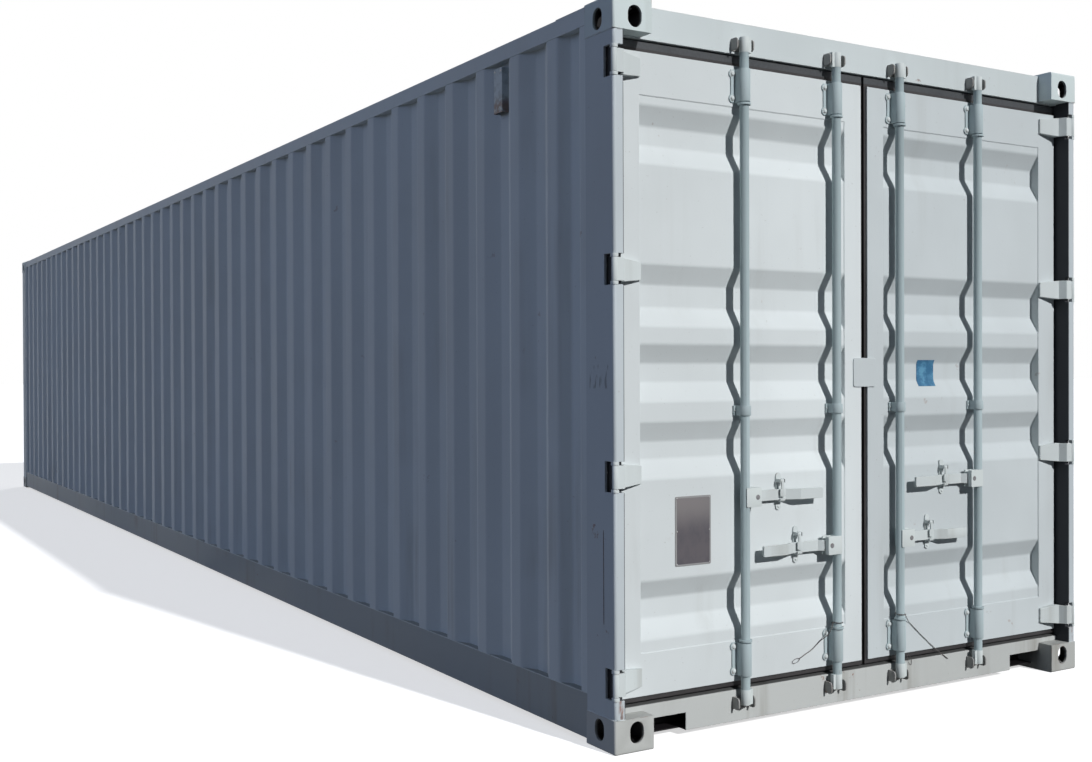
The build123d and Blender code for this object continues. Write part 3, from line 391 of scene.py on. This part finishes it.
def plywood():
    """Boards along the container, with dark joints, grain and wheel marks."""
    s = Shader("floor_plywood", specular=0.25)
    tile = s.add("ShaderNodeTexBrick", offset=0.5, squash=1.0)
    turn = s.add("ShaderNodeMapping")
    s.put(turn.inputs["Vector"], s.coords)
    turn.inputs["Rotation"].default_value = (0, 0, TAU / 4)
    s.put(tile.inputs["Vector"], turn.outputs[0])
    tile.inputs["Scale"].default_value = 1.0
    tile.inputs["Mortar Size"].default_value = 0.0025
    tile.inputs["Mortar Smooth"].default_value = 0.1
    tile.inputs["Brick Width"].default_value = 2.42
    tile.inputs["Row Height"].default_value = 1.162
    tile.inputs["Color1"].default_value = linear((150, 104, 68))
    tile.inputs["Color2"].default_value = linear((134, 90, 58))
    tile.inputs["Mortar"].default_value = linear((38, 28, 22))
    grain = s.noise(9.0, 6, 0.65, stretch=(6, 0.35, 1))
    scuff = s.noise(1.4, 5, 0.7, stretch=(2.2, 0.5, 1))
    colour = s.mix(s.ramp(grain, 0.35, 0.7, 0, 0.5), tile.outputs["Color"], linear((92, 58, 36)))
    colour = s.mix(s.ramp(scuff, 0.48, 0.75, 0, 0.6), colour, linear((84, 72, 62)))
    normal = s.bump(s.ramp(tile.outputs["Fac"], 0, 1, 1, 0), 0.002, 0.8, s.bump(grain, 0.0008, 0.4))
    return s.done(colour, s.ramp(grain, 0.2, 0.8, 0.5, 0.75), normal)


def metal(name, rgb, rough=0.45, tint=(96, 60, 40), amount=0.5):
    """Bare or plated steel with some rust."""
    s = Shader(name, specular=0.5, metallic=0.7)
    mask = s.ramp(s.noise(60.0, 4, 0.6), 0.5, 0.66, 0, amount)
    grain = s.bump(s.noise(200.0, 2), 0.0003, 0.4)
    return s.done(s.mix(mask, linear(rgb), linear(tint)), s.ramp(mask, 0, 1, rough, 0.8), grain)


def weathered(name, rgb, other, scale, rough):
    """A thin sheet or coat of one colour that has worn towards another."""
    s = Shader(name)
    wear = s.ramp(s.noise(scale, 5, 0.65), 0.42, 0.68)
    fine = s.noise(scale * 6, 3)
    colour = s.mix(s.math("MULTIPLY", wear, 0.8), linear(rgb), linear(other))
    return s.done(colour, s.ramp(wear, 0, 1, rough, rough + 0.15), s.bump(fine, 0.0002, 0.4))


def vent_cover():
    """Grey plastic, with brown dirt that has gathered in its lower part."""
    s = Shader("vent_plastic")
    low, high = (corner.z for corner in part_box("side_vents"))
    clean_above, dirty_below = (low + (high - low) * share for share in (0.45, 0.15))
    blotch = s.noise(40.0, 4, 0.6)
    pale = s.mix(s.ramp(blotch, 0.42, 0.68), linear((184, 194, 198)), linear((162, 171, 174)))
    dirt = s.times(s.ramp(s.height(), clean_above, dirty_below), s.ramp(blotch, 0.30, 0.52), 0.8)
    return s.done(s.mix(dirt, pale, linear((116, 92, 80))), 0.55, s.bump(s.noise(180.0, 2), 0.0002, 0.4))


def plate_paint():
    """The data plate: worn dark grey, paler towards the top and along the rim."""
    s = Shader("data_plate")
    rim = 0.007
    wear = s.ramp(s.noise(14.0, 5, 0.65, stretch=(1, 1, 0.6)), 0.40, 0.68)
    colour = s.mix(wear, linear((84, 80, 84)), linear((72, 70, 76)))
    upper = s.ramp(s.height(), PLATE_Z[0] + 0.105, PLATE_Z[1] - 0.025, 0, 0.75)
    colour = s.mix(upper, colour, linear((124, 120, 120)))
    inside = s.times(s.band(s.split()["X"], PLATE_X[0] + rim, PLATE_X[1] - rim, 0.001),
                     s.band(s.height(), PLATE_Z[0] + rim, PLATE_Z[1] - rim, 0.001))
    return s.done(s.mix(inside, linear((140, 140, 140)), colour), 0.55)


WHITE_LEFT = paint("paint_door_left", (208, 214, 215), dents=0.10, seed=1.0)
WHITE_RIGHT = paint("paint_door_right", (194, 201, 203), dents=0.10, seed=5.0)
SHELL = paint("paint_shell", (202, 209, 211), dents=0.12, seed=9.0, grime=0.5)
FRAME = paint("paint_frame", (199, 207, 208), seed=13.0, wear=0.5, rust=0.6)
# The bottom rails' colour is a darker copy of the walls' paint, as painted shade low down, with more dirt
# streaks and rust besides
RAILS = paint("paint_rails_shaded", (150, 156, 158), seed=15.0, wear=0.6, rust=0.8, grime=0.9)
SILL = paint("paint_sill", (182, 185, 184), seed=17.0, wear=0.7, rust=0.9, grime=0.8)
CASTINGS = paint("paint_castings", (200, 211, 211), seed=21.0, wear=0.9, rust=1.0, grime=0.6, over=shade_in_casting)
LOW_CASTINGS = paint("paint_castings_low", (176, 178, 175), seed=22.0, wear=1.0, rust=1.0, grime=1.0,
                     over=shade_in_casting)
# The posts' faces that turn to the door and their hinge pockets take the dark tone as painted shade; the scuffs
# on the left post take it too
POSTS = paint("paint_posts", (187, 195, 199), seed=13.0, wear=0.5, rust=0.6, rusted=post_rust,
              over=post_shade_and_scuffs, tone=(52, 54, 58))
DOOR_SILL = paint("paint_door_sill", (184, 187, 185), seed=18.0, wear=0.7, rust=0.9, grime=0.8, over=sill_shade_and_band)
GUIDE_PAINT = paint("paint_guides", (170, 184, 187), seed=25.0, wear=0.5, rust=0.4, grime=0.4)
GEAR = paint("paint_gear", (199, 206, 206), seed=29.0, wear=0.7, rust=0.5, grime=0.4)
# The cam keepers' dark grey is partly painted shade and partly dirt and rust
KEEPERS = paint("paint_keepers_shaded", (150, 150, 148), seed=31.0, wear=1.0, rust=1.0, grime=1.0)

# Materials by the start of the nodes' names
LOOKS = {
    "side_wall": SHELL, "front_wall": SHELL, "roof_panel": SHELL, "roof_corner_plates": SHELL,
    "top_rails": SHELL, "bottom_rails": RAILS,
    "front_header": FRAME, "front_sill": SILL, "front_posts": FRAME,
    "door_header": FRAME, "door_sill": DOOR_SILL, "door_post": POSTS,
    "corner_castings_top": CASTINGS, "corner_castings_bottom": LOW_CASTINGS,
    "door_frame_left": WHITE_LEFT, "door_panel_left": WHITE_LEFT,
    "door_frame_right": WHITE_RIGHT, "door_panel_right": WHITE_RIGHT,
    "door_seal": rubber(), "hinge_lugs": GEAR, "hinge_blades": GEAR,
    "bar_guides": GUIDE_PAINT, "cam_keepers": KEEPERS, "handle": GEAR,
    "floor_boards": plywood(), "floor_cross": coating(), "side_vents": vent_cover(),
}
for number, (x, z, _, _) in enumerate(BARS, 1):
    LOOKS["locking_bar_%d" % number] = bar_paint(number, x, z)


# Soft edges on the CAD nodes; bends of folded sheets turn by more than BEND_FROM and less than BEND_TO
BEND_FROM, BEND_TO = math.radians(8), math.radians(82)
FLAT_WITHIN, SHARP_FROM = math.radians(0.5), math.radians(40)
WELD_WITHIN = 0.00002


def fold_weights():
    """Marks the bends of a folded sheet, but not its cut edges, for a bevel by weight."""
    group = bpy.data.node_groups.new("fold_weights", "GeometryNodeTree")
    group.interface.new_socket("Geometry", in_out="INPUT", socket_type="NodeSocketGeometry")
    group.interface.new_socket("Geometry", in_out="OUTPUT", socket_type="NodeSocketGeometry")
    new = group.nodes.new
    start, end, angle = new("NodeGroupInput"), new("NodeGroupOutput"), new("GeometryNodeInputMeshEdgeAngle")
    limits = []
    for operation, value in (("GREATER_THAN", BEND_FROM), ("LESS_THAN", BEND_TO)):
        node = new("ShaderNodeMath")
        node.operation = operation
        group.links.new(angle.outputs["Unsigned Angle"], node.inputs[0])
        node.inputs[1].default_value = value
        limits.append(node)
    both = new("ShaderNodeMath")
    both.operation = "MULTIPLY"
    for socket, node in zip(both.inputs, limits):
        group.links.new(node.outputs[0], socket)
    store = new("GeometryNodeStoreNamedAttribute")
    store.data_type, store.domain = "FLOAT", "EDGE"
    store.inputs["Name"].default_value = "bevel_weight_edge"
    group.links.new(start.outputs[0], store.inputs["Geometry"])
    group.links.new(both.outputs[0], store.inputs["Value"])
    group.links.new(store.outputs[0], end.inputs[0])
    return group


FOLDS = fold_weights()

# Width of the soft edges, by the start of the nodes' names: bends of folded sheets, and edges of the others
FOLDED = {"side_wall": 0.007, "front_wall": 0.006, "roof_panel": 0.003, "door_panel": 0.006}
EDGES = {
    "corner_castings": 0.0025, "roof_corner": 0.001, "door_seal": 0.002,
    "door_post": 0.0015, "door_header": 0.003, "door_sill": 0.0015, "door_frame": 0.0015,
    "front_posts": 0.0015, "front_header": 0.003, "front_sill": 0.0015,
    "top_rails": 0.003, "bottom_rails": 0.0015, "side_vents": 0.0008, "hinge": 0.0015,
    "locking_bar": 0.001, "bar_guides": 0.001, "cam_keepers": 0.0015, "handle": 0.0012,
}


def soften(node, width, folded):
    """Joins the mesh's doubled points, clears its flats and rounds its edges or bends."""
    weld = node.modifiers.new("weld", "WELD")
    weld.merge_threshold = WELD_WITHIN
    flat = node.modifiers.new("flat", "DECIMATE")
    flat.decimate_type = "DISSOLVE"
    flat.angle_limit = FLAT_WITHIN
    if folded:
        node.modifiers.new("weights", "NODES").node_group = FOLDS
    bevel = node.modifiers.new("bevel", "BEVEL")
    bevel.width = width
    bevel.segments = 3 if folded else 2
    bevel.limit_method = "WEIGHT" if folded else "ANGLE"
    bevel.angle_limit = SHARP_FROM
    bevel.miter_outer = "MITER_SHARP" if folded else "MITER_ARC"


def first(table, name):
    """The table's value for the first key that the name starts with."""
    return next((value for key, value in table.items() if name.startswith(key)), None)


for name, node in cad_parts.items():
    node.data.materials.clear()
    node.data.materials.append(first(LOOKS, name))
    if first(FOLDED, name):
        soften(node, first(FOLDED, name), True)
    elif first(EDGES, name):
        soften(node, first(EDGES, name), False)


# Building pieces
HEAD_SIDES, BEAD_SIDES, WIRE_SIDES = 14, 6, 6
CORNER_STEPS = 5
CHAMFER = 0.001
FRONTWARD = (0, -1, 0)


def circle(centre, one, two, radius, sides):
    """Points around a centre, in the plane of two directions."""
    angles = [TAU * i / sides for i in range(sides)]
    return [centre + (one * math.cos(a) + two * math.sin(a)) * radius for a in angles]


class Piece:
    """Gathers the points and faces of one piece, in the part's own frame."""

    def __init__(self):
        self.points, self.faces = [], []

    def ring_stack(self, rings):
        """Skins a stack of rings that all have the same number of points, and closes its ends."""
        count, base = len(rings[0]), len(self.points)
        for ring in rings:
            self.points += [tuple(p) for p in ring]
        for k in range(len(rings) - 1):
            for i in range(count):
                j = (i + 1) % count
                a, b = base + k * count, base + (k + 1) * count
                self.faces.append((a + i, a + j, b + j, b + i))
        last = base + (len(rings) - 1) * count
        self.faces.append(tuple(base + i for i in reversed(range(count))))
        self.faces.append(tuple(last + i for i in range(count)))

    def head(self, centre, axis, radius, tall, washer=0.0):
        """A domed bolt or rivet head that stands on a surface, on a washer if one is asked for."""
        axis = Vector(axis).normalized()
        one = axis.orthogonal().normalized()
        centre = Vector(centre)
        profile = [(1.0, -0.1), (1.0, 0.35), (0.93, 0.62), (0.72, 0.86), (0.38, 0.98), (0.08, 1.0)]
        if washer:
            profile = [(washer, -0.1), (washer, 0.14), (1.02, 0.2)] + profile[1:]
        self.ring_stack([circle(centre + axis * tall * up, one, axis.cross(one), radius * share, HEAD_SIDES)
                         for share, up in profile])

    def bead(self, path, radius, step=0.008, ripple=0.10):
        """A weld bead along a bent line, with small ripples and ends that taper off."""
        path = [Vector(p) for p in path]
        places = []
        for a, b in zip(path, path[1:]):
            count = max(2, int((b - a).length / step))
            places += [(a.lerp(b, i / count), (b - a).normalized()) for i in range(count)]
        places.append((path[-1], (path[-1] - path[-2]).normalized()))
        rings = []
        for k, (point, way) in enumerate(places):
            one = way.orthogonal().normalized()
            size = radius * (1 + ripple * (random.random() - 0.5) * 2)
            if k in (0, len(places) - 1):
                size *= 0.4
            rings.append(circle(point, one, way.cross(one), size, BEAD_SIDES))
        self.ring_stack(rings)

    def tube(self, path, radius):
        """A round wire along a smooth line."""
        path = [Vector(p) for p in path]
        ways = [(b - a).normalized() for a, b in zip(path, path[1:])]
        ways.append(ways[-1])
        one = ways[0].orthogonal().normalized()
        rings = []
        for point, way in zip(path, ways):
            one = (one - way * one.dot(way)).normalized()
            rings.append(circle(point, one, way.cross(one), radius, WIRE_SIDES))
        self.ring_stack(rings)

    def slab(self, outline, y_front, y_back):
        """A plate across Y from an outline of (x, z) points, with a chamfered front edge."""
        middle_x = sum(x for x, _ in outline) / len(outline)
        middle_z = sum(z for _, z in outline) / len(outline)
        shrunk = [(x + math.copysign(CHAMFER, middle_x - x), z + math.copysign(CHAMFER, middle_z - z))
                  for x, z in outline]
        self.ring_stack([[(x, y_back, z) for x, z in outline],
                         [(x, y_front + CHAMFER, z) for x, z in outline],
                         [(x, y_front, z) for x, z in shrunk]])

    def make(self, name, body, material, smooth=35):
        """Turns the points and faces into an object that rides on a body."""
        mesh = bpy.data.meshes.new(name)
        mesh.from_pydata(self.points, [], self.faces)
        mesh.validate()
        obj = bpy.data.objects.new(name, mesh)
        bpy.context.scene.collection.objects.link(obj)
        mesh.materials.append(material)
        mesh.shade_smooth()
        mesh.set_sharp_from_angle(angle=math.radians(smooth))
        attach(obj, body)


def rounded(x, z, radius):
    """Outline of a rectangle with round corners, anticlockwise as seen from the doors' front."""
    (x0, x1), (z0, z1) = (x[0] + radius, x[1] - radius), (z[0] + radius, z[1] - radius)
    outline = []
    for quarter, (centre_x, centre_z) in enumerate(((x1, z1), (x0, z1), (x0, z0), (x1, z0))):
        for k in range(CORNER_STEPS + 1):
            angle = TAU / 4 * (quarter + k / CORNER_STEPS)
            outline.append((centre_x + radius * math.cos(angle), centre_z + radius * math.sin(angle)))
    return outline


def smooth_line(points, steps):
    """A Catmull-Rom curve through the points."""
    points = [Vector(p) for p in points]
    ends = [2 * points[0] - points[1]] + points + [2 * points[-1] - points[-2]]
    line = []
    for a, b, c, d in zip(ends, ends[1:], ends[2:], ends[3:]):
        for i in range(steps):
            t = i / steps
            line.append(0.5 * (2 * b + (c - a) * t + (2 * a - 5 * b + 4 * c - d) * t * t
                               + (3 * b - a - 3 * c + d) * t * t * t))
    return line + [points[-1]]


# Bolts and rivets of the lock gear, and the pins in the bars' hubs
GUIDE_BOLTS = [(dx, dz) for dx in (-0.033, 0.033) for dz in (-0.045, 0.045)]
MIDDLE_RIVETS = (-0.026, 0.026)
RETAINER_FACE = PANEL_FACE - 0.006

for word in ("left", "right"):
    bolts = Piece()
    for x, z, way, door in BARS:
        if door != word:
            continue
        for guide_z in GUIDES:
            for dx, dz in GUIDE_BOLTS:
                bolts.head((x + dx, behind(GUIDE_FACE), guide_z + dz), FRONTWARD, 0.0085, 0.006, washer=1.35)
        for dx in MIDDLE_RIVETS:
            bolts.head((x + dx, behind(GUIDE_FACE), MIDDLE_GUIDE), FRONTWARD, 0.0035, 0.003)
        bolts.head((x + way * RETAINER_OUT, behind(RETAINER_FACE), z - RETAINER_BOLT_DROP), FRONTWARD,
                   0.0045, 0.003, washer=1.3)
    bolts.make("gear_bolts_" + word, "door_" + word, GEAR)

HUB_PIN = weathered("hub_pin_steel", (124, 124, 126), (96, 90, 88), 60.0, 0.6)
for number, (x, z, way, _) in enumerate(BARS, 1):
    pin = Piece()
    pin.head((x + way * HUB_PIN_OUT, behind(HUB_FACE), z), FRONTWARD, 0.0075, 0.0016, washer=1.3)
    pin.make("hub_pin_%d" % number, "bar_%d" % number, HUB_PIN)

# The data plate and its rivets
RIVET_INSET = 0.007
plate = Piece()
plate.slab(rounded(PLATE_X, PLATE_Z, 0.006), behind(PANEL_FACE - PLATE_THICK), behind(PANEL_FACE))
plate.make("data_plate", "door_left", plate_paint())
rivets = Piece()
for x in (PLATE_X[0] + RIVET_INSET, PLATE_X[1] - RIVET_INSET):
    for z in (PLATE_Z[0] + RIVET_INSET, sum(PLATE_Z) / 2, PLATE_Z[1] - RIVET_INSET):
        rivets.head((x, behind(PANEL_FACE - PLATE_THICK), z), FRONTWARD, 0.003, 0.002)
rivets.make("data_plate_rivets", "door_left", metal("rivet_steel", (150, 150, 150)))


# The doors' folded sheets
def panel_profile():
    """The bends of a door's sheet from below, as (distance in from its front, z)."""
    up = PANEL_Z[0]
    bends = [(0.0, up)]
    for tall, flat in zip(FOLD_HEIGHTS, FOLD_FLATS):
        up += flat
        bends += [(0.0, up), (FOLD_DEPTH, up + SLOPE), (FOLD_DEPTH, up + tall - SLOPE), (0.0, up + tall)]
        up += tall
    return bends + [(0.0, PANEL_Z[1])]


PROFILE = panel_profile()


def sheet_inward(z):
    """How far in from its front a door's sheet lies at a height."""
    for (start, low), (stop, high) in zip(PROFILE, PROFILE[1:]):
        if low <= z <= high:
            return start + (stop - start) * (z - low) / (high - low)


# The small blue sheet, glued over the third recess from below, with each bend blunted by two points
BLUE = weathered("blue_sheet", (42, 94, 128), (92, 146, 174), 24.0, 0.5)
sheet = Piece()
front = [(PANEL_FACE + sheet_inward(z) - BLUE_THICK, z) for z in BLUE_Z]
back = [(PANEL_FACE + sheet_inward(z) + BLUE_SUNK, z) for z in BLUE_Z]
sheet.ring_stack([[(x, behind(depth), z) for depth, z in front + back[::-1]] for x in BLUE_X])
sheet.make("blue_sheet", "door_right", BLUE, smooth=60)

# Plate over the gap where the doors meet, welded along its right edge
lap = Piece()
lap.slab(rounded(LAP_X, LAP_Z, 0.010), behind(DOOR_FACE - LAP_THICK), behind(DOOR_FACE))
lap.bead([(LAP_X[1], behind(DOOR_FACE - 0.001), z) for z in (LAP_Z[0] + 0.006, LAP_Z[1] - 0.006)], 0.0025)
lap.make("meeting_plate", "door_right", WHITE_RIGHT)

# Weld beads where the doors' folded sheets meet their frames, and beside the bars' middle guides
LOW_BEAD, HIGH_BEAD, END_BEAD, GUIDE_BEAD = 0.0012, 0.0020, 0.0022, 0.002
for side, word, look in ((-1, "left", WHITE_LEFT), (1, "right", WHITE_RIGHT)):
    ends = sorted((side * (HALF - SHEET_FROM_SIDE), MEETING_X + side * SHEET_FROM_MEETING))
    beads = Piece()
    for x, lean in ((ends[0], 0.0008), (ends[1], -0.0008)):
        beads.bead([(x + lean, behind(PANEL_FACE + inward), z) for inward, z in PROFILE], END_BEAD, 0.012)
    for z, radius in zip(PANEL_Z, (LOW_BEAD, HIGH_BEAD)):
        beads.bead([(x, behind(PANEL_FACE), z) for x in ends], radius, 0.012)
    for x, _, _, door in BARS:
        if door == word:
            for dx in (-0.030, 0.030):
                beads.bead([(x + dx, behind(PANEL_FACE), MIDDLE_GUIDE + dz) for dz in (-0.017, 0.017)],
                           GUIDE_BEAD)
    beads.make("door_beads_" + word, "door_" + word, look)

# Weld beads of the frame: castings to posts and rails, walls to rails and posts, header to door posts
POST_SIDE, WALL_SIDE = HALF - 0.003, HALF - 0.007
LOW_RAIL, HIGH_RAIL = (0.020, 0.112), (2.525, 2.580)
WALL_EDGES, WALL_ENDS = (0.176, 2.523), (0.180, 2.470)
beads = Piece()
for side in (-1, 1):
    for z, rail in ((CASTING[2], LOW_RAIL), (TOP - CASTING[2], HIGH_RAIL)):
        for end in (-1, 1):
            end_y = -end * END
            deep_y = end_y - end * CASTING[1]
            beads.bead([(side * (HALF - POST_WIDTH), end_y - end * 0.003, z),
                        (side * (POST_SIDE - 0.008), end_y - end * 0.003, z),
                        (side * POST_SIDE, end_y - end * 0.011, z),
                        (side * POST_SIDE, deep_y, z)], 0.0030, 0.010)
            beads.bead([(side * WALL_SIDE, deep_y, rail_z) for rail_z in rail], 0.0030, 0.010)
    for z in WALL_EDGES:
        beads.bead([(side * WALL_SIDE, way * behind(0.180), z) for way in (1, -1)], 0.0022, 0.03, ripple=0.2)
    for end in (-1, 1):
        y = -end * behind(CASTING[1])
        beads.bead([(side * WALL_SIDE, y, z) for z in WALL_ENDS], 0.0024, 0.014)
    x = side * (HALF - POST_WIDTH - 0.0005)
    beads.bead([(x, behind(0.066), z) for z in (2.470, 2.476)], 0.0025)
beads.make("frame_beads", "container", FRAME)

# A rusty weld on the outer side of the left post
seam = Piece()
seam.bead([(-POST_SIDE, behind(0.070), 0.436), (-POST_SIDE, behind(0.071), 0.763)], 0.0016, 0.010)
seam.make("post_bead", "container",
          weathered("rusty_bead", (72, 62, 62), (112, 76, 58), 60.0, 0.8))

# Twisted steel wires tied around the two inner bars
WIRE = metal("tie_wire", (86, 82, 82), 0.6, (80, 60, 50), 0.6)
WIRE_RADIUS, WIRE_OFFSET, WIRE_LAY = 0.0010, 0.0009, 0.016
TURN_RADIUS, TURN_RISE, TURN_STEPS = 0.0205, 0.006, 16
TURN_Z = 0.336
LOOP_STEPS = 24


def wire_turn(bar_x, way):
    """One turn of the wire around a bar, which rises a little."""
    turn = []
    for i in range(TURN_STEPS + 1):
        angle = TAU * i / TURN_STEPS + (0 if way > 0 else TAU / 2)
        turn.append((bar_x + TURN_RADIUS * math.cos(angle), behind(BAR_DEPTH) - TURN_RADIUS * math.sin(angle),
                     TURN_Z + TURN_RISE * i / TURN_STEPS))
    return turn


def wire_strand(centre, phase):
    """A strand that winds around the wire's middle line."""
    strand, travelled = [], 0.0
    for k, point in enumerate(centre):
        if k:
            travelled += (point - centre[k - 1]).length
        way_on = (centre[min(k + 1, len(centre) - 1)] - centre[max(k - 1, 0)]).normalized()
        one = way_on.cross(Vector((0, 0, 1))).normalized()
        two = way_on.cross(one)
        angle = travelled / WIRE_LAY * TAU + phase
        strand.append(point + (one * math.cos(angle) + two * math.sin(angle)) * WIRE_OFFSET)
    return strand


def wire_loop(place, half_sizes, lean):
    """The small loop at the wire's end, an ellipse that leans."""
    (x, depth, z), (wide, tall) = place, half_sizes
    loop = []
    for i in range(LOOP_STEPS + 1):
        a = TAU * i / LOOP_STEPS
        dx, dz = wide * math.cos(a), tall * math.sin(a)
        loop.append((x + dx * math.cos(lean) - dz * math.sin(lean), behind(depth) + 0.001 * math.sin(a),
                     z + dx * math.sin(lean) + dz * math.cos(lean)))
    return loop


def tie_wire(name, body, bar_x, way, tail, loop):
    """Two thin strands twisted together: a turn around the bar, a hanging tail and a small loop."""
    route = wire_turn(bar_x, way) + [(x, behind(depth), z) for x, depth, z in tail]
    centre = smooth_line(route, 10)
    piece = Piece()
    for phase in (0, TAU / 2):
        piece.tube(wire_strand(centre, phase), WIRE_RADIUS)
    piece.tube(wire_loop(*loop), WIRE_RADIUS)
    piece.make(name, body, WIRE)


tie_wire("tie_wire_left", "bar_2", BARS[1][0], -1,
         [(-0.190, 0.037, 0.322), (-0.202, 0.044, 0.296), (-0.226, 0.060, 0.272), (-0.262, 0.0665, 0.243),
          (-0.300, 0.0665, 0.226), (-0.328, 0.0665, 0.214)], ((-0.345, 0.0665, 0.208), (0.018, 0.007), 0.25))
tie_wire("tie_wire_right", "bar_3", BARS[2][0], 1,
         [(0.209, 0.038, 0.330), (0.232, 0.052, 0.312), (0.262, 0.0655, 0.290), (0.330, 0.0665, 0.232),
          (0.400, 0.0660, 0.176), (0.452, 0.0630, 0.138), (0.482, 0.0625, 0.118)],
         ((0.258, 0.0630, 0.140), (0.009, 0.022), 0.35))

# Screws of the vent covers, near their corners
VENT_LONG, SCREW_ALONG, SCREW_INSET = 0.066, 0.010, 0.012
screws = Piece()
low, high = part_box("side_vents")
for x, outward, near in ((low.x, -1, low.y), (high.x, 1, high.y - VENT_LONG)):
    for dy in (SCREW_ALONG, VENT_LONG - SCREW_ALONG):
        for z in (low.z + SCREW_INSET, high.z - SCREW_INSET):
            screws.head((x, near + dy, z), (outward, 0, 0), 0.004, 0.002)
screws.make("vent_screws", "container", metal("screw_steel", (140, 142, 142)))


# Floor, world and lamps
def seen_directly(tree):
    """1 for rays that see a thing straight, by a reflection or through glass."""
    path = tree.nodes.new("ShaderNodeLightPath")
    found = path.outputs["Is Camera Ray"]
    for key in ("Is Glossy Ray", "Is Transmission Ray"):
        larger = tree.nodes.new("ShaderNodeMath")
        larger.operation = "MAXIMUM"
        tree.links.new(found, larger.inputs[0])
        tree.links.new(path.outputs[key], larger.inputs[1])
        found = larger.outputs[0]
    return found


def floor_material():
    """Pale where it is looked at, and dark for the light that it throws back on the container."""
    s = Shader("studio_floor", rough=1.0, specular=0.0)
    s.bsdf.inputs["Base Color"].default_value = (0.07, 0.07, 0.07, 1)
    glow = s.add("ShaderNodeEmission")
    glow.inputs["Strength"].default_value = 0.62
    pale = s.add("ShaderNodeBsdfDiffuse")
    pale.inputs["Color"].default_value = (0.75, 0.75, 0.75, 1)
    both = s.add("ShaderNodeAddShader")
    s.put(both.inputs[0], glow.outputs[0])
    s.put(both.inputs[1], pale.outputs[0])
    pick = s.add("ShaderNodeMixShader")
    s.put(pick.inputs["Fac"], seen_directly(s.tree))
    s.put(pick.inputs[1], s.bsdf.outputs[0])
    s.put(pick.inputs[2], both.outputs[0])
    s.put(s.tree.nodes["Material Output"].inputs["Surface"], pick.outputs[0])
    return s.mat


FAR = 150.0
mesh = bpy.data.meshes.new("studio_floor")
mesh.from_pydata([(-FAR, -FAR, 0), (FAR, -FAR, 0), (FAR, FAR, 0), (-FAR, FAR, 0)], [], [(0, 1, 2, 3)])
mesh.materials.append(floor_material())
floor = bpy.data.objects.new("studio_floor", mesh)
bpy.context.scene.collection.objects.link(floor)

# White behind the container, and a soft blue sky for the light that falls on it
world = bpy.data.worlds.new("studio")
bpy.context.scene.world = world
world.use_nodes = True
tree = world.node_tree
colour = tree.nodes.new("ShaderNodeMix")
colour.data_type = "RGBA"
colour.inputs["A"].default_value = (0.076, 0.090, 0.120, 1)
colour.inputs["B"].default_value = (1, 1, 1, 1)
tree.links.new(seen_directly(tree), colour.inputs["Factor"])
tree.links.new(colour.outputs["Result"], tree.nodes["Background"].inputs["Color"])


def sun(name, travel, strength, angle, rgb=(1, 1, 1)):
    """A sun lamp whose light travels in a direction; a wide angle makes it soft."""
    lamp = bpy.data.objects.new(name, bpy.data.lights.new(name, "SUN"))
    lamp.data.energy = strength
    lamp.data.angle = math.radians(angle)
    lamp.data.color = rgb
    lamp.rotation_euler = Vector(travel).to_track_quat("-Z", "Y").to_euler()
    bpy.context.scene.collection.objects.link(lamp)


sun("key", (-0.18, 1.0, -0.6), 3.4, 1.2)
sun("fill", (-0.6, -0.7, -0.4), 1.1, 12.0)
sun("left", (1.0, -0.2, -0.3), 0.41, 40.0, (0.44, 0.60, 1.0))
bpy.context.scene.view_settings.view_transform = "Standard"
